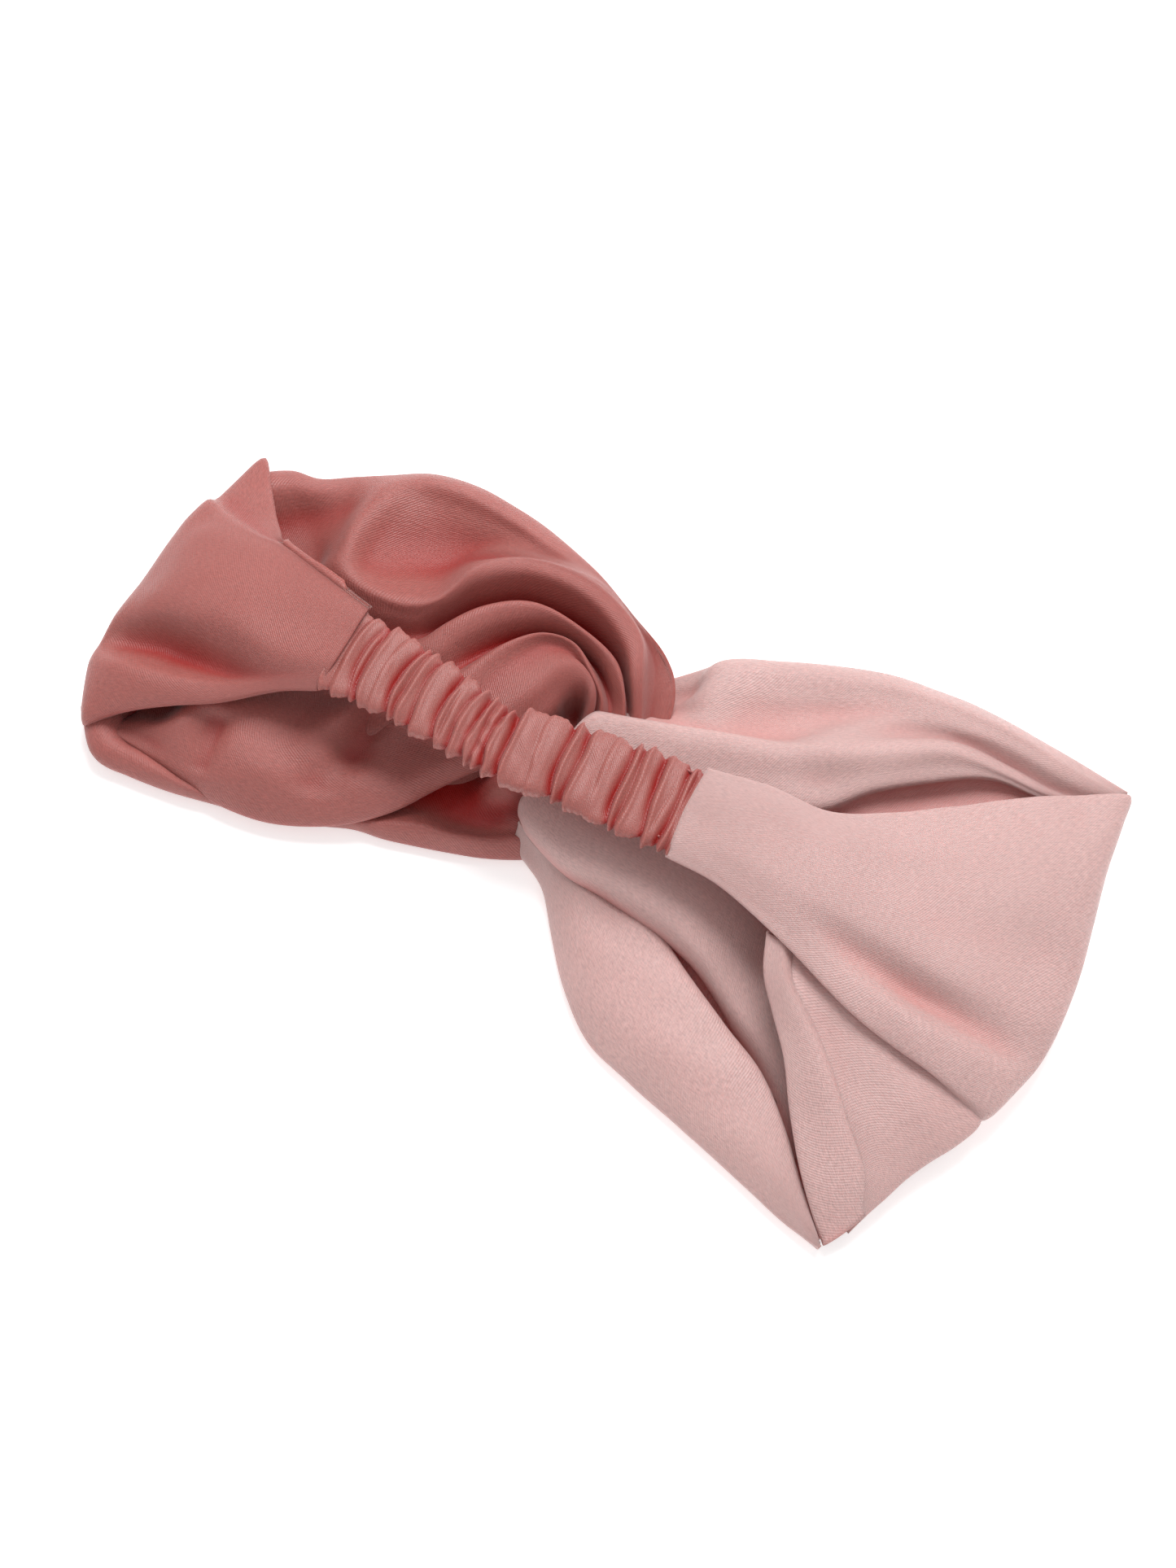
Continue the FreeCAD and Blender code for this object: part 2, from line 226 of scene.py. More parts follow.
def cloth(name, sheet, thickness, closed=False, painted_shade_amount=None):
    """A mesh with the sheet's points, given its thickness below it. Lengths become metres.

    closed joins the sheet's last row to its first, as on a tube.
    """
    # Each point keeps an amount of painted shade, which the satin mixes into its colour.
    painted_shade_amount = hollows(sheet) if painted_shade_amount is None else painted_shade_amount
    rows, columns = sheet.shape[:2]
    bm = bmesh.new()
    bmesh.ops.create_grid(bm, x_segments=columns - 1, y_segments=rows - 1, size=1)
    across = np.r_[0, np.linalg.norm(np.diff(sheet, axis=0), axis=2).mean(axis=1).cumsum()]
    along = np.r_[0, np.linalg.norm(np.diff(sheet, axis=1), axis=2).mean(axis=0).cumsum()]
    uv = bm.loops.layers.uv.new("cloth")
    painted_shade_layer = bm.verts.layers.float.new("painted_shade_amount")
    where = {}
    for v in bm.verts:
        column = round((v.co.x + 1) / 2 * (columns - 1))
        row = round((v.co.y + 1) / 2 * (rows - 1))
        where[v] = (along[column] * MM, across[row] * MM)
        v.co = Vector(sheet[row, column]) * MM
        v[painted_shade_layer] = float(painted_shade_amount[row, column])
    for face in bm.faces:
        for loop in face.loops:
            loop[uv].uv = where[loop.vert]
    bm.normal_update()
    if closed:
        bmesh.ops.remove_doubles(bm, verts=bm.verts, dist=1e-6)
        bmesh.ops.recalc_face_normals(bm, faces=bm.faces)
    elif sum(f.normal.z * f.calc_area() for f in bm.faces) < 0:
        bmesh.ops.reverse_faces(bm, faces=bm.faces)
    if thickness:
        rest = bm.verts.layers.float_vector.new("rest")
        for v in bm.verts:
            v[rest] = v.co
        bmesh.ops.solidify(bm, geom=bm.faces, thickness=thickness)
        for v in bm.verts:
            away = v.co - v[rest]
            if away.length > WALL_LIMIT * thickness:
                v.co = v[rest] + away.normalized() * WALL_LIMIT * thickness
        bm.verts.layers.float_vector.remove(rest)
    else:
        bmesh.ops.holes_fill(bm, edges=[edge for edge in bm.edges if edge.is_boundary], sides=0)
    for v in bm.verts:
        if v.co.z < TABLE_REACH:
            v.co.z = TABLE_REACH * math.exp(v.co.z / TABLE_REACH - 1)
    for face in bm.faces:
        face.smooth = True
    mesh = bpy.data.meshes.new(name)
    bm.to_mesh(mesh)
    bm.free()
    piece = bpy.data.objects.new(name, mesh)
    bpy.context.scene.collection.objects.link(piece)
    return piece


def dress(piece, material, nodes=()):
    """Gives a piece its finish and hides the CAD nodes that it stands for."""
    piece.data.materials.clear()
    piece.data.materials.append(material)
    if nodes:
        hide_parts(*nodes)


def bend_at_fold(piece):
    """Bakes a side piece's place into its mesh."""
    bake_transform(piece)


def stretch_with_casing(piece):
    """Bakes a piece's place into its mesh."""
    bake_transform(piece)


# ---------------------------------------------------------------- materials

def node(tree, kind, **values):
    """A shader node with its inputs, by name, and its settings."""
    made = tree.nodes.new(kind)
    for key, value in values.items():
        if key in made.inputs:
            made.inputs[key].default_value = value
        else:
            setattr(made, key, value)
    return made


def finish(name, **values):
    """A new material, its node tree and its shader, with the shader's own values set."""
    made = bpy.data.materials.new(name)
    made.use_nodes = True
    shader = made.node_tree.nodes["Principled BSDF"]
    for key, value in values.items():
        shader.inputs[key.replace("_", " ")].default_value = value
    return made, made.node_tree, shader


def slow_range(tree, source, low, high, target):
    """Spreads a value between low and high, and feeds it to a socket."""
    spread_out = node(tree, "ShaderNodeMapRange")
    spread_out.inputs["To Min"].default_value = low
    spread_out.inputs["To Max"].default_value = high
    tree.links.new(source, spread_out.inputs["Value"])
    tree.links.new(spread_out.outputs["Result"], target)


def bands(tree, shader, direction, size, colour, dark):
    """Bands of colour across a piece, from a darker colour to the full one. Returns their height."""
    where = node(tree, "ShaderNodeTexCoord")
    wave = node(tree, "ShaderNodeTexWave", bands_direction=direction, Scale=size)
    ramp = node(tree, "ShaderNodeValToRGB")
    ramp.color_ramp.elements[0].color = (*[c * dark for c in colour], 1)
    ramp.color_ramp.elements[1].color = (*colour, 1)
    tree.links.new(where.outputs["Object"], wave.inputs["Vector"])
    tree.links.new(wave.outputs["Fac"], ramp.inputs["Fac"])
    tree.links.new(ramp.outputs["Color"], shader.inputs["Base Color"])
    return wave.outputs["Fac"]


def slub_group():
    """Crepe satin: short flecks along the thread over a fine crosswise weave."""
    name = "slub weave"
    if name in bpy.data.node_groups:
        return bpy.data.node_groups[name]
    tree = bpy.data.node_groups.new(name, "ShaderNodeTree")
    face = tree.interface
    face.new_socket("Vector", in_out="INPUT", socket_type="NodeSocketVector")
    for label, default in (("Fleck size", 1.0), ("Weave size", 1.0)):
        socket = face.new_socket(label, in_out="INPUT", socket_type="NodeSocketFloat")
        socket.default_value = default
    face.new_socket("Height", in_out="OUTPUT", socket_type="NodeSocketFloat")
    face.new_socket("Tone", in_out="OUTPUT", socket_type="NodeSocketFloat")
    inside = tree.nodes.new("NodeGroupInput")
    outside = tree.nodes.new("NodeGroupOutput")
    join = tree.links.new

    turned = node(tree, "ShaderNodeMapping", Rotation=(0, 0, math.radians(8)), Scale=(1, 4.5, 1))
    join(inside.outputs["Vector"], turned.inputs["Vector"])
    fleck = node(tree, "ShaderNodeTexNoise", Detail=3.0, Roughness=0.6)
    size = node(tree, "ShaderNodeMath", operation="DIVIDE")
    size.inputs[0].default_value = 700.0
    join(inside.outputs["Fleck size"], size.inputs[1])
    join(size.outputs[0], fleck.inputs["Scale"])
    join(turned.outputs[0], fleck.inputs["Vector"])

    twill = node(tree, "ShaderNodeTexWave", wave_type="BANDS", bands_direction="DIAGONAL",
                 Distortion=0.6, Detail=1.0)
    fine = node(tree, "ShaderNodeMath", operation="DIVIDE")
    fine.inputs[0].default_value = 900.0
    join(inside.outputs["Weave size"], fine.inputs[1])
    join(fine.outputs[0], twill.inputs["Scale"])
    join(inside.outputs["Vector"], twill.inputs["Vector"])

    mix = node(tree, "ShaderNodeMix", data_type="FLOAT")
    mix.inputs[0].default_value = 0.25
    join(fleck.outputs["Fac"], mix.inputs[2])
    join(twill.outputs["Fac"], mix.inputs[3])
    join(mix.outputs[0], outside.inputs["Height"])
    join(fleck.outputs["Fac"], outside.inputs["Tone"])
    return tree


def satin(name, colour, sheen, rough, bump, painted_shade_powers=(1.25, 2.3), fleck=1.0, weave=1.0):
    """Satin: a tinted cloth with a soft sheen, slubs and slow random changes of lightness.

    Painted shade: where the cloth dips, its colour is mixed towards the colour raised to the two painted
    shade powers, for red and for green and blue.
    """
    made, tree, shader = finish(
        name, Sheen_Weight=sheen, Sheen_Roughness=0.35, Specular_IOR_Level=0.55,
        Subsurface_Weight=0.3, Subsurface_Radius=(1.0, 0.45, 0.40), Subsurface_Scale=0.003)
    join = tree.links.new
    place = node(tree, "ShaderNodeUVMap", uv_map="cloth")
    slub = node(tree, "ShaderNodeGroup", node_tree=slub_group())
    slub.inputs["Fleck size"].default_value = fleck
    slub.inputs["Weave size"].default_value = weave
    join(place.outputs["UV"], slub.inputs["Vector"])

    tone_and_painted_shade = node(tree, "ShaderNodeValToRGB")
    ramp = tone_and_painted_shade.color_ramp
    ramp.elements[0].position, ramp.elements[1].position = 0.30, 0.72
    ramp.elements[0].color = (*[c * 0.76 for c in colour], 1)
    ramp.elements[1].color = (*[min(1.0, c * 1.08) for c in colour], 1)
    join(slub.outputs["Tone"], tone_and_painted_shade.inputs["Fac"])

    where = node(tree, "ShaderNodeTexCoord")
    slow = node(tree, "ShaderNodeTexNoise", Scale=38.0, Detail=2.0)
    join(where.outputs["Object"], slow.inputs["Vector"])
    slow_range(tree, slow.outputs["Fac"], rough - 0.06, rough + 0.08, shader.inputs["Roughness"])

    # Painted shade: the colour is mixed towards a darker, redder one by each point's amount of painted
    # shade.
    painted_shade_amount = node(tree, "ShaderNodeAttribute", attribute_name="painted_shade_amount")
    deep = node(tree, "ShaderNodeMapRange")
    deep.inputs["From Min"].default_value = 0.0
    deep.inputs["From Max"].default_value = 0.85
    deep.inputs["To Max"].default_value = 0.95
    join(painted_shade_amount.outputs["Fac"], deep.inputs["Value"])
    shade = node(tree, "ShaderNodeMix", data_type="RGBA")
    red, green, blue = colour
    red_power, other_power = painted_shade_powers
    shade.inputs[7].default_value = (red**red_power, green**other_power, blue**other_power, 1)
    join(deep.outputs["Result"], shade.inputs[0])
    join(tone_and_painted_shade.outputs["Color"], shade.inputs[6])

    faded = node(tree, "ShaderNodeHueSaturation")
    slow_range(tree, slow.outputs["Fac"], 0.93, 1.06, faded.inputs["Value"])
    join(shade.outputs[2], faded.inputs["Color"])
    join(faded.outputs["Color"], shader.inputs["Base Color"])

    relief = node(tree, "ShaderNodeBump", Strength=bump, Distance=RELIEF)
    join(slub.outputs["Height"], relief.inputs["Height"])
    join(relief.outputs["Normal"], shader.inputs["Normal"])
    return made


def coral_satin(context):
    """The coral panels' satin, whose painted shade in the folds is darker and redder than the coral."""
    return satin("coral satin", context.scene.headband_colours.coral, 0.15, 0.42, 0.8)


def pink_satin(context):
    """The pink panels' satin."""
    colour = context.scene.headband_colours.pink
    return satin("pink satin", colour, 0.15, 0.46, 0.8, painted_shade_powers=(1.05, 1.55))


def twisted_thread(context):
    """Two-ply thread: the twist shows as slanting bands round it."""
    made, tree, shader = finish("twisted thread", Roughness=0.6)
    bands(tree, shader, "DIAGONAL", 700.0, context.scene.headband_colours.thread, dark=0.6)
    return made


def woven_elastic(context):
    """Ribbed elastic: ribs along its length."""
    made, tree, shader = finish("woven elastic", Roughness=0.85)
    height = bands(tree, shader, "Y", 320.0, context.scene.headband_colours.elastic, dark=0.75)
    relief = node(tree, "ShaderNodeBump", Strength=0.6, Distance=RELIEF)
    tree.links.new(height, relief.inputs["Height"])
    tree.links.new(relief.outputs["Normal"], shader.inputs["Normal"])
    return made


# ---------------------------------------------------------------- rails, in millimetres

# The coral inner layer's upper half, from its outer edge in to the middle of the knot. Each
# rail runs clockwise, from the folded end round to the pink panel.
CORAL_SWIRL = [
    [(-115, 32, .8), (-113, 42, .8), (-108, 47, .8), (-101, 48, .8), (-92, 52.5, .8), (-84, 57, .8),
     (-74, 61, .8), (-63, 62, .8), (-51, 61, .8), (-39, 58, .8), (-27, 54, .8), (-15, 48, .8),
     (-5, 42, .8), (3, 34, .8), (5, 22, .8)],
    [(-120, 32, 6), (-118, 46, 8), (-110, 52, 8.5), (-102, 53, 9), (-94, 57.5, 9.5), (-86, 61.5, 10.5),
     (-76, 66.5, 11), (-64, 68, 12), (-51, 67, 12), (-38, 64, 12), (-25, 59.5, 12), (-13, 53, 12.5),
     (-.5, 46.8, 12), (6.3, 38.5, 11), (9, 22, 7)],
    [(-116, 30, 9), (-114, 42, 11), (-107, 47, 11), (-101, 48.5, 11), (-93, 53, 12), (-85, 57, 15),
     (-75, 61.5, 17), (-63, 63, 17), (-51, 62, 16.5), (-39, 59.5, 17), (-27, 58, 15), (-15, 53.6, 14.8),
     (-2, 46.9, 12.2), (4.7, 38.3, 11.2), (8, 23, 7.5)],
    [(-112, 26, 5), (-108, 36, 5), (-103, 41, 6), (-98, 44, 7.5), (-91, 47.5, 11), (-84.5, 51.5, 17),
     (-75, 56, 15.5), (-64, 58.5, 14.5), (-52, 59, 14.5), (-41, 57, 16.5), (-29.5, 56.5, 17.5),
     (-17, 54, 17), (-3.8, 47, 12.3), (2.8, 38, 11), (6.5, 23.5, 7.5)],
    [(-108, 20, 4), (-103, 29, 4.5), (-98, 35, 5.5), (-94, 38, 7.5), (-89.5, 40.5, 12), (-85, 42, 17),
     (-78, 44, 13.5), (-69, 48, 11), (-58, 52.5, 11), (-48.5, 53.5, 16), (-32, 55.2, 19),
     (-18.8, 53.8, 18.8), (-5.6, 47.1, 13), (.9, 37.6, 11), (5, 24, 7.5)],
    [(-104, 16, 4), (-99, 24, 4.5), (-94, 30, 6), (-91, 33, 8), (-88, 34.5, 13), (-84, 35.5, 17),
     (-78, 36, 14), (-70, 39, 12), (-61, 44.5, 11.5), (-53, 49, 15), (-36, 53.6, 20.8),
     (-20.5, 53.2, 20.6), (-6.9, 47.2, 15.6), (-.5, 37.2, 12.8), (4.2, 24.5, 8.5)],
    [(-100, 10, 4), (-95, 18, 5), (-91, 24, 7), (-88.5, 27, 10), (-86, 28, 14), (-82, 28.5, 16.5),
     (-74, 27.5, 17.8), (-65, 28, 18.8), (-57, 32.5, 20), (-51.5, 43.5, 22), (-40, 51, 22.6),
     (-22.2, 51.6, 22.2), (-8, 46.4, 19.6), (-2, 36.4, 17), (3.4, 25, 10.5)],
    [(-97, 4, 4), (-91, 12, 6), (-86, 18, 8), (-82, 22, 10.5), (-78, 23.5, 13), (-73, 24, 15),
     (-67, 24.5, 16), (-60, 26.5, 17), (-55, 31.5, 19.6), (-50, 40, 21.2), (-39, 47.6, 21.8),
     (-23, 48.2, 21.2), (-10.4, 43, 18.8), (-3.8, 34.6, 16.8), (2.2, 24.4, 9.6)],
    [(-93, -1, 4), (-86, 7, 6), (-80, 13, 8), (-75, 17, 9.5), (-71, 19, 10.5), (-67, 20.5, 11),
     (-62, 22, 11.5), (-57.5, 24, 12), (-53.4, 29.6, 11), (-47.6, 37.2, 9.6), (-37.2, 44, 8.2),
     (-22.6, 45, 7.6), (-11.4, 40.8, 9), (-4.6, 33, 9), (.8, 23.4, 8)],
    [(-88, -6, 5), (-81, 2, 8), (-75, 8, 11), (-70, 12, 13), (-66, 14.5, 14), (-62, 16.5, 15),
     (-58, 18.5, 16), (-54.5, 21.5, 17.5), (-51, 27.5, 19.5), (-44.5, 35.5, 21), (-34.5, 41.3, 21.3),
     (-21.5, 41, 20.5), (-10, 37.6, 18.6), (-4, 31, 15.6), (-.6, 22.6, 9.4)],
    [(-84, -9, 4), (-77, -2, 7), (-71, 3, 10), (-66, 7, 12.8), (-62, 10, 14.2), (-58, 12.5, 15.2),
     (-54, 15.5, 16.2), (-50.5, 19.5, 17.6), (-46.5, 26.5, 18.8), (-40.5, 33.5, 19.4), (-31.5, 38.8, 19),
     (-21.5, 39.3, 18.4), (-12, 36, 16.8), (-5, 29, 13), (-4.5, 21, 8)],
    [(-80, -12, 4), (-73, -6, 6), (-67, -2, 9), (-62, 2, 10.5), (-57, 5, 11.5), (-53, 8.5, 12.5),
     (-49, 12.5, 13.3), (-46, 17.5, 13.8), (-42.5, 24.5, 12.5), (-37.5, 31.5, 12), (-30, 37.3, 11),
     (-21.5, 38.3, 10.5), (-13, 35.5, 10.5), (-6.5, 28, 11), (-6, 20, 7)],
    [(-74, -15, 4), (-67, -10, 6.5), (-61, -6, 10), (-56, -2, 12), (-51, 2, 14), (-47, 6, 15),
     (-44, 11, 16), (-41.5, 17, 17), (-38.8, 24, 18), (-34.5, 30.5, 19.7), (-28.5, 35.5, 20.3),
     (-21, 36.8, 19.8), (-14.5, 33, 18.5), (-8.5, 27.5, 15.5), (-8, 20, 9)],
    [(-68, -16, 4), (-61, -12, 6), (-55, -8, 9), (-50, -4, 11.2), (-45, 0, 12.8), (-41.5, 4, 13.8),
     (-38.5, 9, 14.8), (-36, 15, 15.6), (-34, 22, 16.8), (-31, 28.5, 17.6), (-27, 33.8, 17.8),
     (-21.5, 35, 17.4), (-15.5, 32, 16.4), (-10, 27, 13), (-9, 20, 8)],
    [(-62, -16, 4), (-55, -12, 6), (-49, -8, 9), (-43, -4, 11.5), (-38, 0, 13.5), (-34.5, 4, 14.5),
     (-31.5, 9, 15.5), (-29, 14, 16.5), (-26.5, 19, 17.7), (-24, 24.5, 18.7), (-21.5, 29.5, 19.6),
     (-18, 32.3, 19.6), (-13.5, 31, 19), (-10, 27.5, 17), (-8.5, 20, 11)],
    [(-50, -12, 4), (-45, -8, 6), (-40, -5, 8.5), (-36, -2, 10.5), (-32, 1, 12), (-29, 4.5, 13),
     (-26.5, 8.5, 13.8), (-24.5, 13, 14.5), (-22.5, 17.5, 15.5), (-20.8, 21.8, 16.5), (-19, 25.8, 17.5),
     (-16.7, 28.5, 18.2), (-13.5, 28.7, 18), (-11, 26, 16.5), (-10, 21, 12)],
    [(-40, -8, 3), (-36, -6, 4.5), (-32, -3, 6), (-29, 0, 8), (-26, 3, 9.5), (-24, 6, 10.5),
     (-22.3, 9.5, 11.5), (-20.5, 13.5, 12.2), (-19, 17.5, 13), (-17.8, 21, 13.8), (-17, 24, 14.3),
     (-15.5, 26.3, 14.5), (-13.3, 26.8, 14.3), (-11.8, 25, 13.5), (-11, 21, 10)],
    [(-30, -4, 2.5), (-28, -3, 3), (-26, -1, 3.5), (-24, 1, 4), (-22, 4, 5), (-20.5, 7, 5.5),
     (-19.5, 10.5, 6), (-18, 14, 6), (-17, 17, 6), (-16.3, 20, 6), (-16, 22.5, 6), (-15, 24.5, 6),
     (-13.7, 24.8, 6), (-12.8, 23.5, 6), (-12.3, 21, 6)],
    [(-30, -8, 2), (-27, -6, 2.3), (-24.5, -4, 2.6), (-22, -1, 3), (-20, 2, 3.5), (-18.2, 5, 4),
     (-17, 9, 4.3), (-15.8, 12, 4.5), (-15.1, 15, 4.6), (-14.7, 18, 4.6), (-14.5, 20, 4.6),
     (-14.2, 21.3, 4.6), (-13.6, 21.3, 4.6), (-13, 20, 4.6), (-12.6, 18, 4.6)],
]

# The coral inner layer's lower half, from its outer edge in, each rail from the folded end on.
CORAL_LOWER = [
    [(-112, -28, 1), (-106, -29, 1), (-99, -30, 1), (-90, -32, 1), (-80, -32, 1), (-68, -30, 1),
     (-58, -26, 1.5), (-50, -21, 2.5), (-43, -15, 4), (-37, -7, 5), (-32, 0, 6), (-26, 6, 7)],
    [(-116.5, -31.5, 7.2), (-110, -32.5, 7), (-101, -33.7, 6.8), (-91, -35.3, 6.3), (-81, -36.3, 5.2),
     (-69, -35, 5.5), (-58, -31, 5.8), (-48.5, -25.5, 7.2), (-41, -19, 9), (-35, -10.5, 10.2),
     (-29.5, -4, 12), (-24, 2, 13)],
    [(-114.5, -29, 6.8), (-108, -29.5, 8), (-100, -30.5, 10), (-91, -31.5, 11.8), (-81.5, -32, 11.6),
     (-69.5, -30.5, 11.6), (-58.5, -26.5, 11.4), (-49.5, -21.5, 12.2), (-42.5, -15, 13.5),
     (-36.5, -7, 14.6), (-31, -1, 15.6), (-26, 5, 16)],
    [(-113, -25, 5), (-106.5, -26.5, 9.5), (-99, -26.5, 14), (-91, -26.5, 14.2), (-82, -27, 14.6),
     (-70.5, -26.5, 14.8), (-60.5, -23, 12.6), (-52, -17.5, 14.5), (-45.5, -10.5, 13.3), (-39, -3, 14.6),
     (-33, 3, 15.8), (-28, 9, 16)],
    [(-112, -20, 3.5), (-105, -22, 7.5), (-98, -22, 16), (-90.5, -21.5, 15.4), (-83, -21, 16.2),
     (-73, -20.5, 15.8), (-62.5, -16.5, 16.2), (-56.5, -12.5, 11.3), (-49, -6.5, 13), (-42, 1, 13.3),
     (-36, 7, 14.5), (-31, 13, 15)],
    [(-110, -8, 3), (-103, -13, 6), (-97, -15, 15), (-89, -15, 16.8), (-80, -13, 17), (-72, -13, 16),
     (-64, -12.5, 17.3), (-56.5, -8, 11), (-51, -3, 13.2), (-45, 5, 12.5), (-39, 12, 13.5),
     (-34, 18, 14)],
    [(-108, 2, 3), (-102, -2, 5), (-95, -5, 11), (-87, -6, 14), (-79, -5, 14), (-71, -5, 14),
     (-62.5, -4, 17.8), (-57.5, 0, 11), (-52.5, 5, 12), (-47, 12, 12), (-42, 18, 12), (-37, 23, 12)],
    [(-106, 12, 3), (-100, 9, 3), (-92, 6, 5), (-84, 5, 7), (-76, 5, 7), (-68, 6, 8), (-62, 8, 9),
     (-57, 12, 8), (-52, 17, 8), (-47, 21, 8), (-43, 25, 8), (-39, 28, 8)],
]

# The coral outer layer, on the table: its rolled edge shows past the inner layer at both ends.
CORAL_OUTER = [
    [(-112, -32, .6), (-108, -34, .6), (-103, -34, .6), (-97, -34, .6), (-90, -33, .6), (-81, -31, .6),
     (-70, -28, .6), (-59, -25, .6), (-50, -22, .6), (-41, -20, .6), (-33, -18, .6), (-26, -16, .6),
     (-18, -14, .6), (-10, -11, .6), (-4, -8, .6)],
    [(-121, -31, 2), (-113, -38, 1.5), (-106, -38, 1.3), (-99, -37.5, 1.2), (-91, -36.5, 1.2),
     (-81, -34.5, 1), (-69, -32, 1), (-58, -28.5, 1), (-50, -25.5, 1), (-42, -24, 1), (-34, -22, 1),
     (-26, -20, 1), (-18, -17.5, 1), (-10, -14, 1), (-4, -10, 1)],
    [(-124, -30, 7), (-115.5, -39, 5.5), (-106, -39.2, 4.5), (-99, -38.7, 4.2), (-91, -37.7, 4),
     (-81, -35.5, 3.6), (-69, -32.5, 3), (-58, -29, 3), (-50, -26, 3.6), (-42, -25, 3.5),
     (-34, -23, 3.5), (-26, -20.8, 3.5), (-18, -18.3, 3.5), (-10.5, -14.8, 4), (-4, -10, 4)],
    [(-123, -27, 9.4), (-114, -35.8, 8.6), (-106, -36.3, 8), (-99, -36.6, 7.6), (-91, -36.6, 7),
     (-81, -34.5, 5), (-69, -31, 4), (-58, -27.5, 4), (-50.5, -25.3, 5.5), (-43, -23, 7), (-35, -20, 8),
     (-27, -18.6, 8), (-18.5, -15.6, 7.8), (-12, -12, 8), (-5, -8, 8)],
    [(-120, -26, 9), (-112, -33.2, 8.4), (-105, -33.8, 8), (-98, -34.8, 7.6), (-91, -35.3, 6.8),
     (-81, -32.5, 4.6), (-69, -28.5, 3.6), (-58, -25, 3.6), (-51, -23.2, 5), (-43, -20.5, 6.4),
     (-35, -17.5, 7), (-27, -16.5, 6.8), (-19, -13.5, 6.8), (-13, -9.5, 7.2), (-6, -5, 7)],
    [(-116, -25, 6), (-110, -30.5, 5.5), (-104, -31.5, 5), (-97.5, -32.3, 5), (-90.5, -32.3, 4.5),
     (-80.5, -29, 3), (-69, -24, 3), (-58.5, -20, 3), (-51, -18, 3.2), (-43, -15.5, 4), (-35, -13, 4.6),
     (-27, -12.5, 4.8), (-20, -10, 6), (-14.5, -6, 8), (-8, -2, 8)],
    [(-121, -22, 1.8), (-110, -24, 2.4), (-102, -25, 3), (-96, -26, 3), (-89, -25, 3), (-80, -22, 2.8),
     (-69, -16, 2.8), (-59, -12, 2.8), (-51, -9, 3), (-43, -7, 3.5), (-36, -5, 4), (-28, -5, 6),
     (-21, -4, 13), (-16, -3, 13), (-9, 2, 10)],
    [(-121, 6, 1.8), (-109, 4, 2.2), (-100, 2, 2.5), (-94, 1, 2.5), (-87, 1, 2.5), (-79, 2, 2.5),
     (-69, 4, 2.5), (-60, 5, 2.5), (-52, 5, 2.5), (-44, 5, 2.5), (-37, 6, 3), (-30, 6, 4), (-24, 6, 6),
     (-18, 8, 7), (-12, 10, 7)],
    [(-119, 26, 1.8), (-109, 32, 2.2), (-101, 36, 2.5), (-94, 41, 2.5), (-86, 45, 2.5), (-78, 47, 2.5),
     (-68, 47, 2.5), (-59, 44, 2.5), (-51, 38, 2.5), (-44, 32, 2.5), (-38, 27, 2.5), (-32, 22, 3),
     (-27, 18, 4), (-22, 16, 5), (-16, 15, 5)],
]

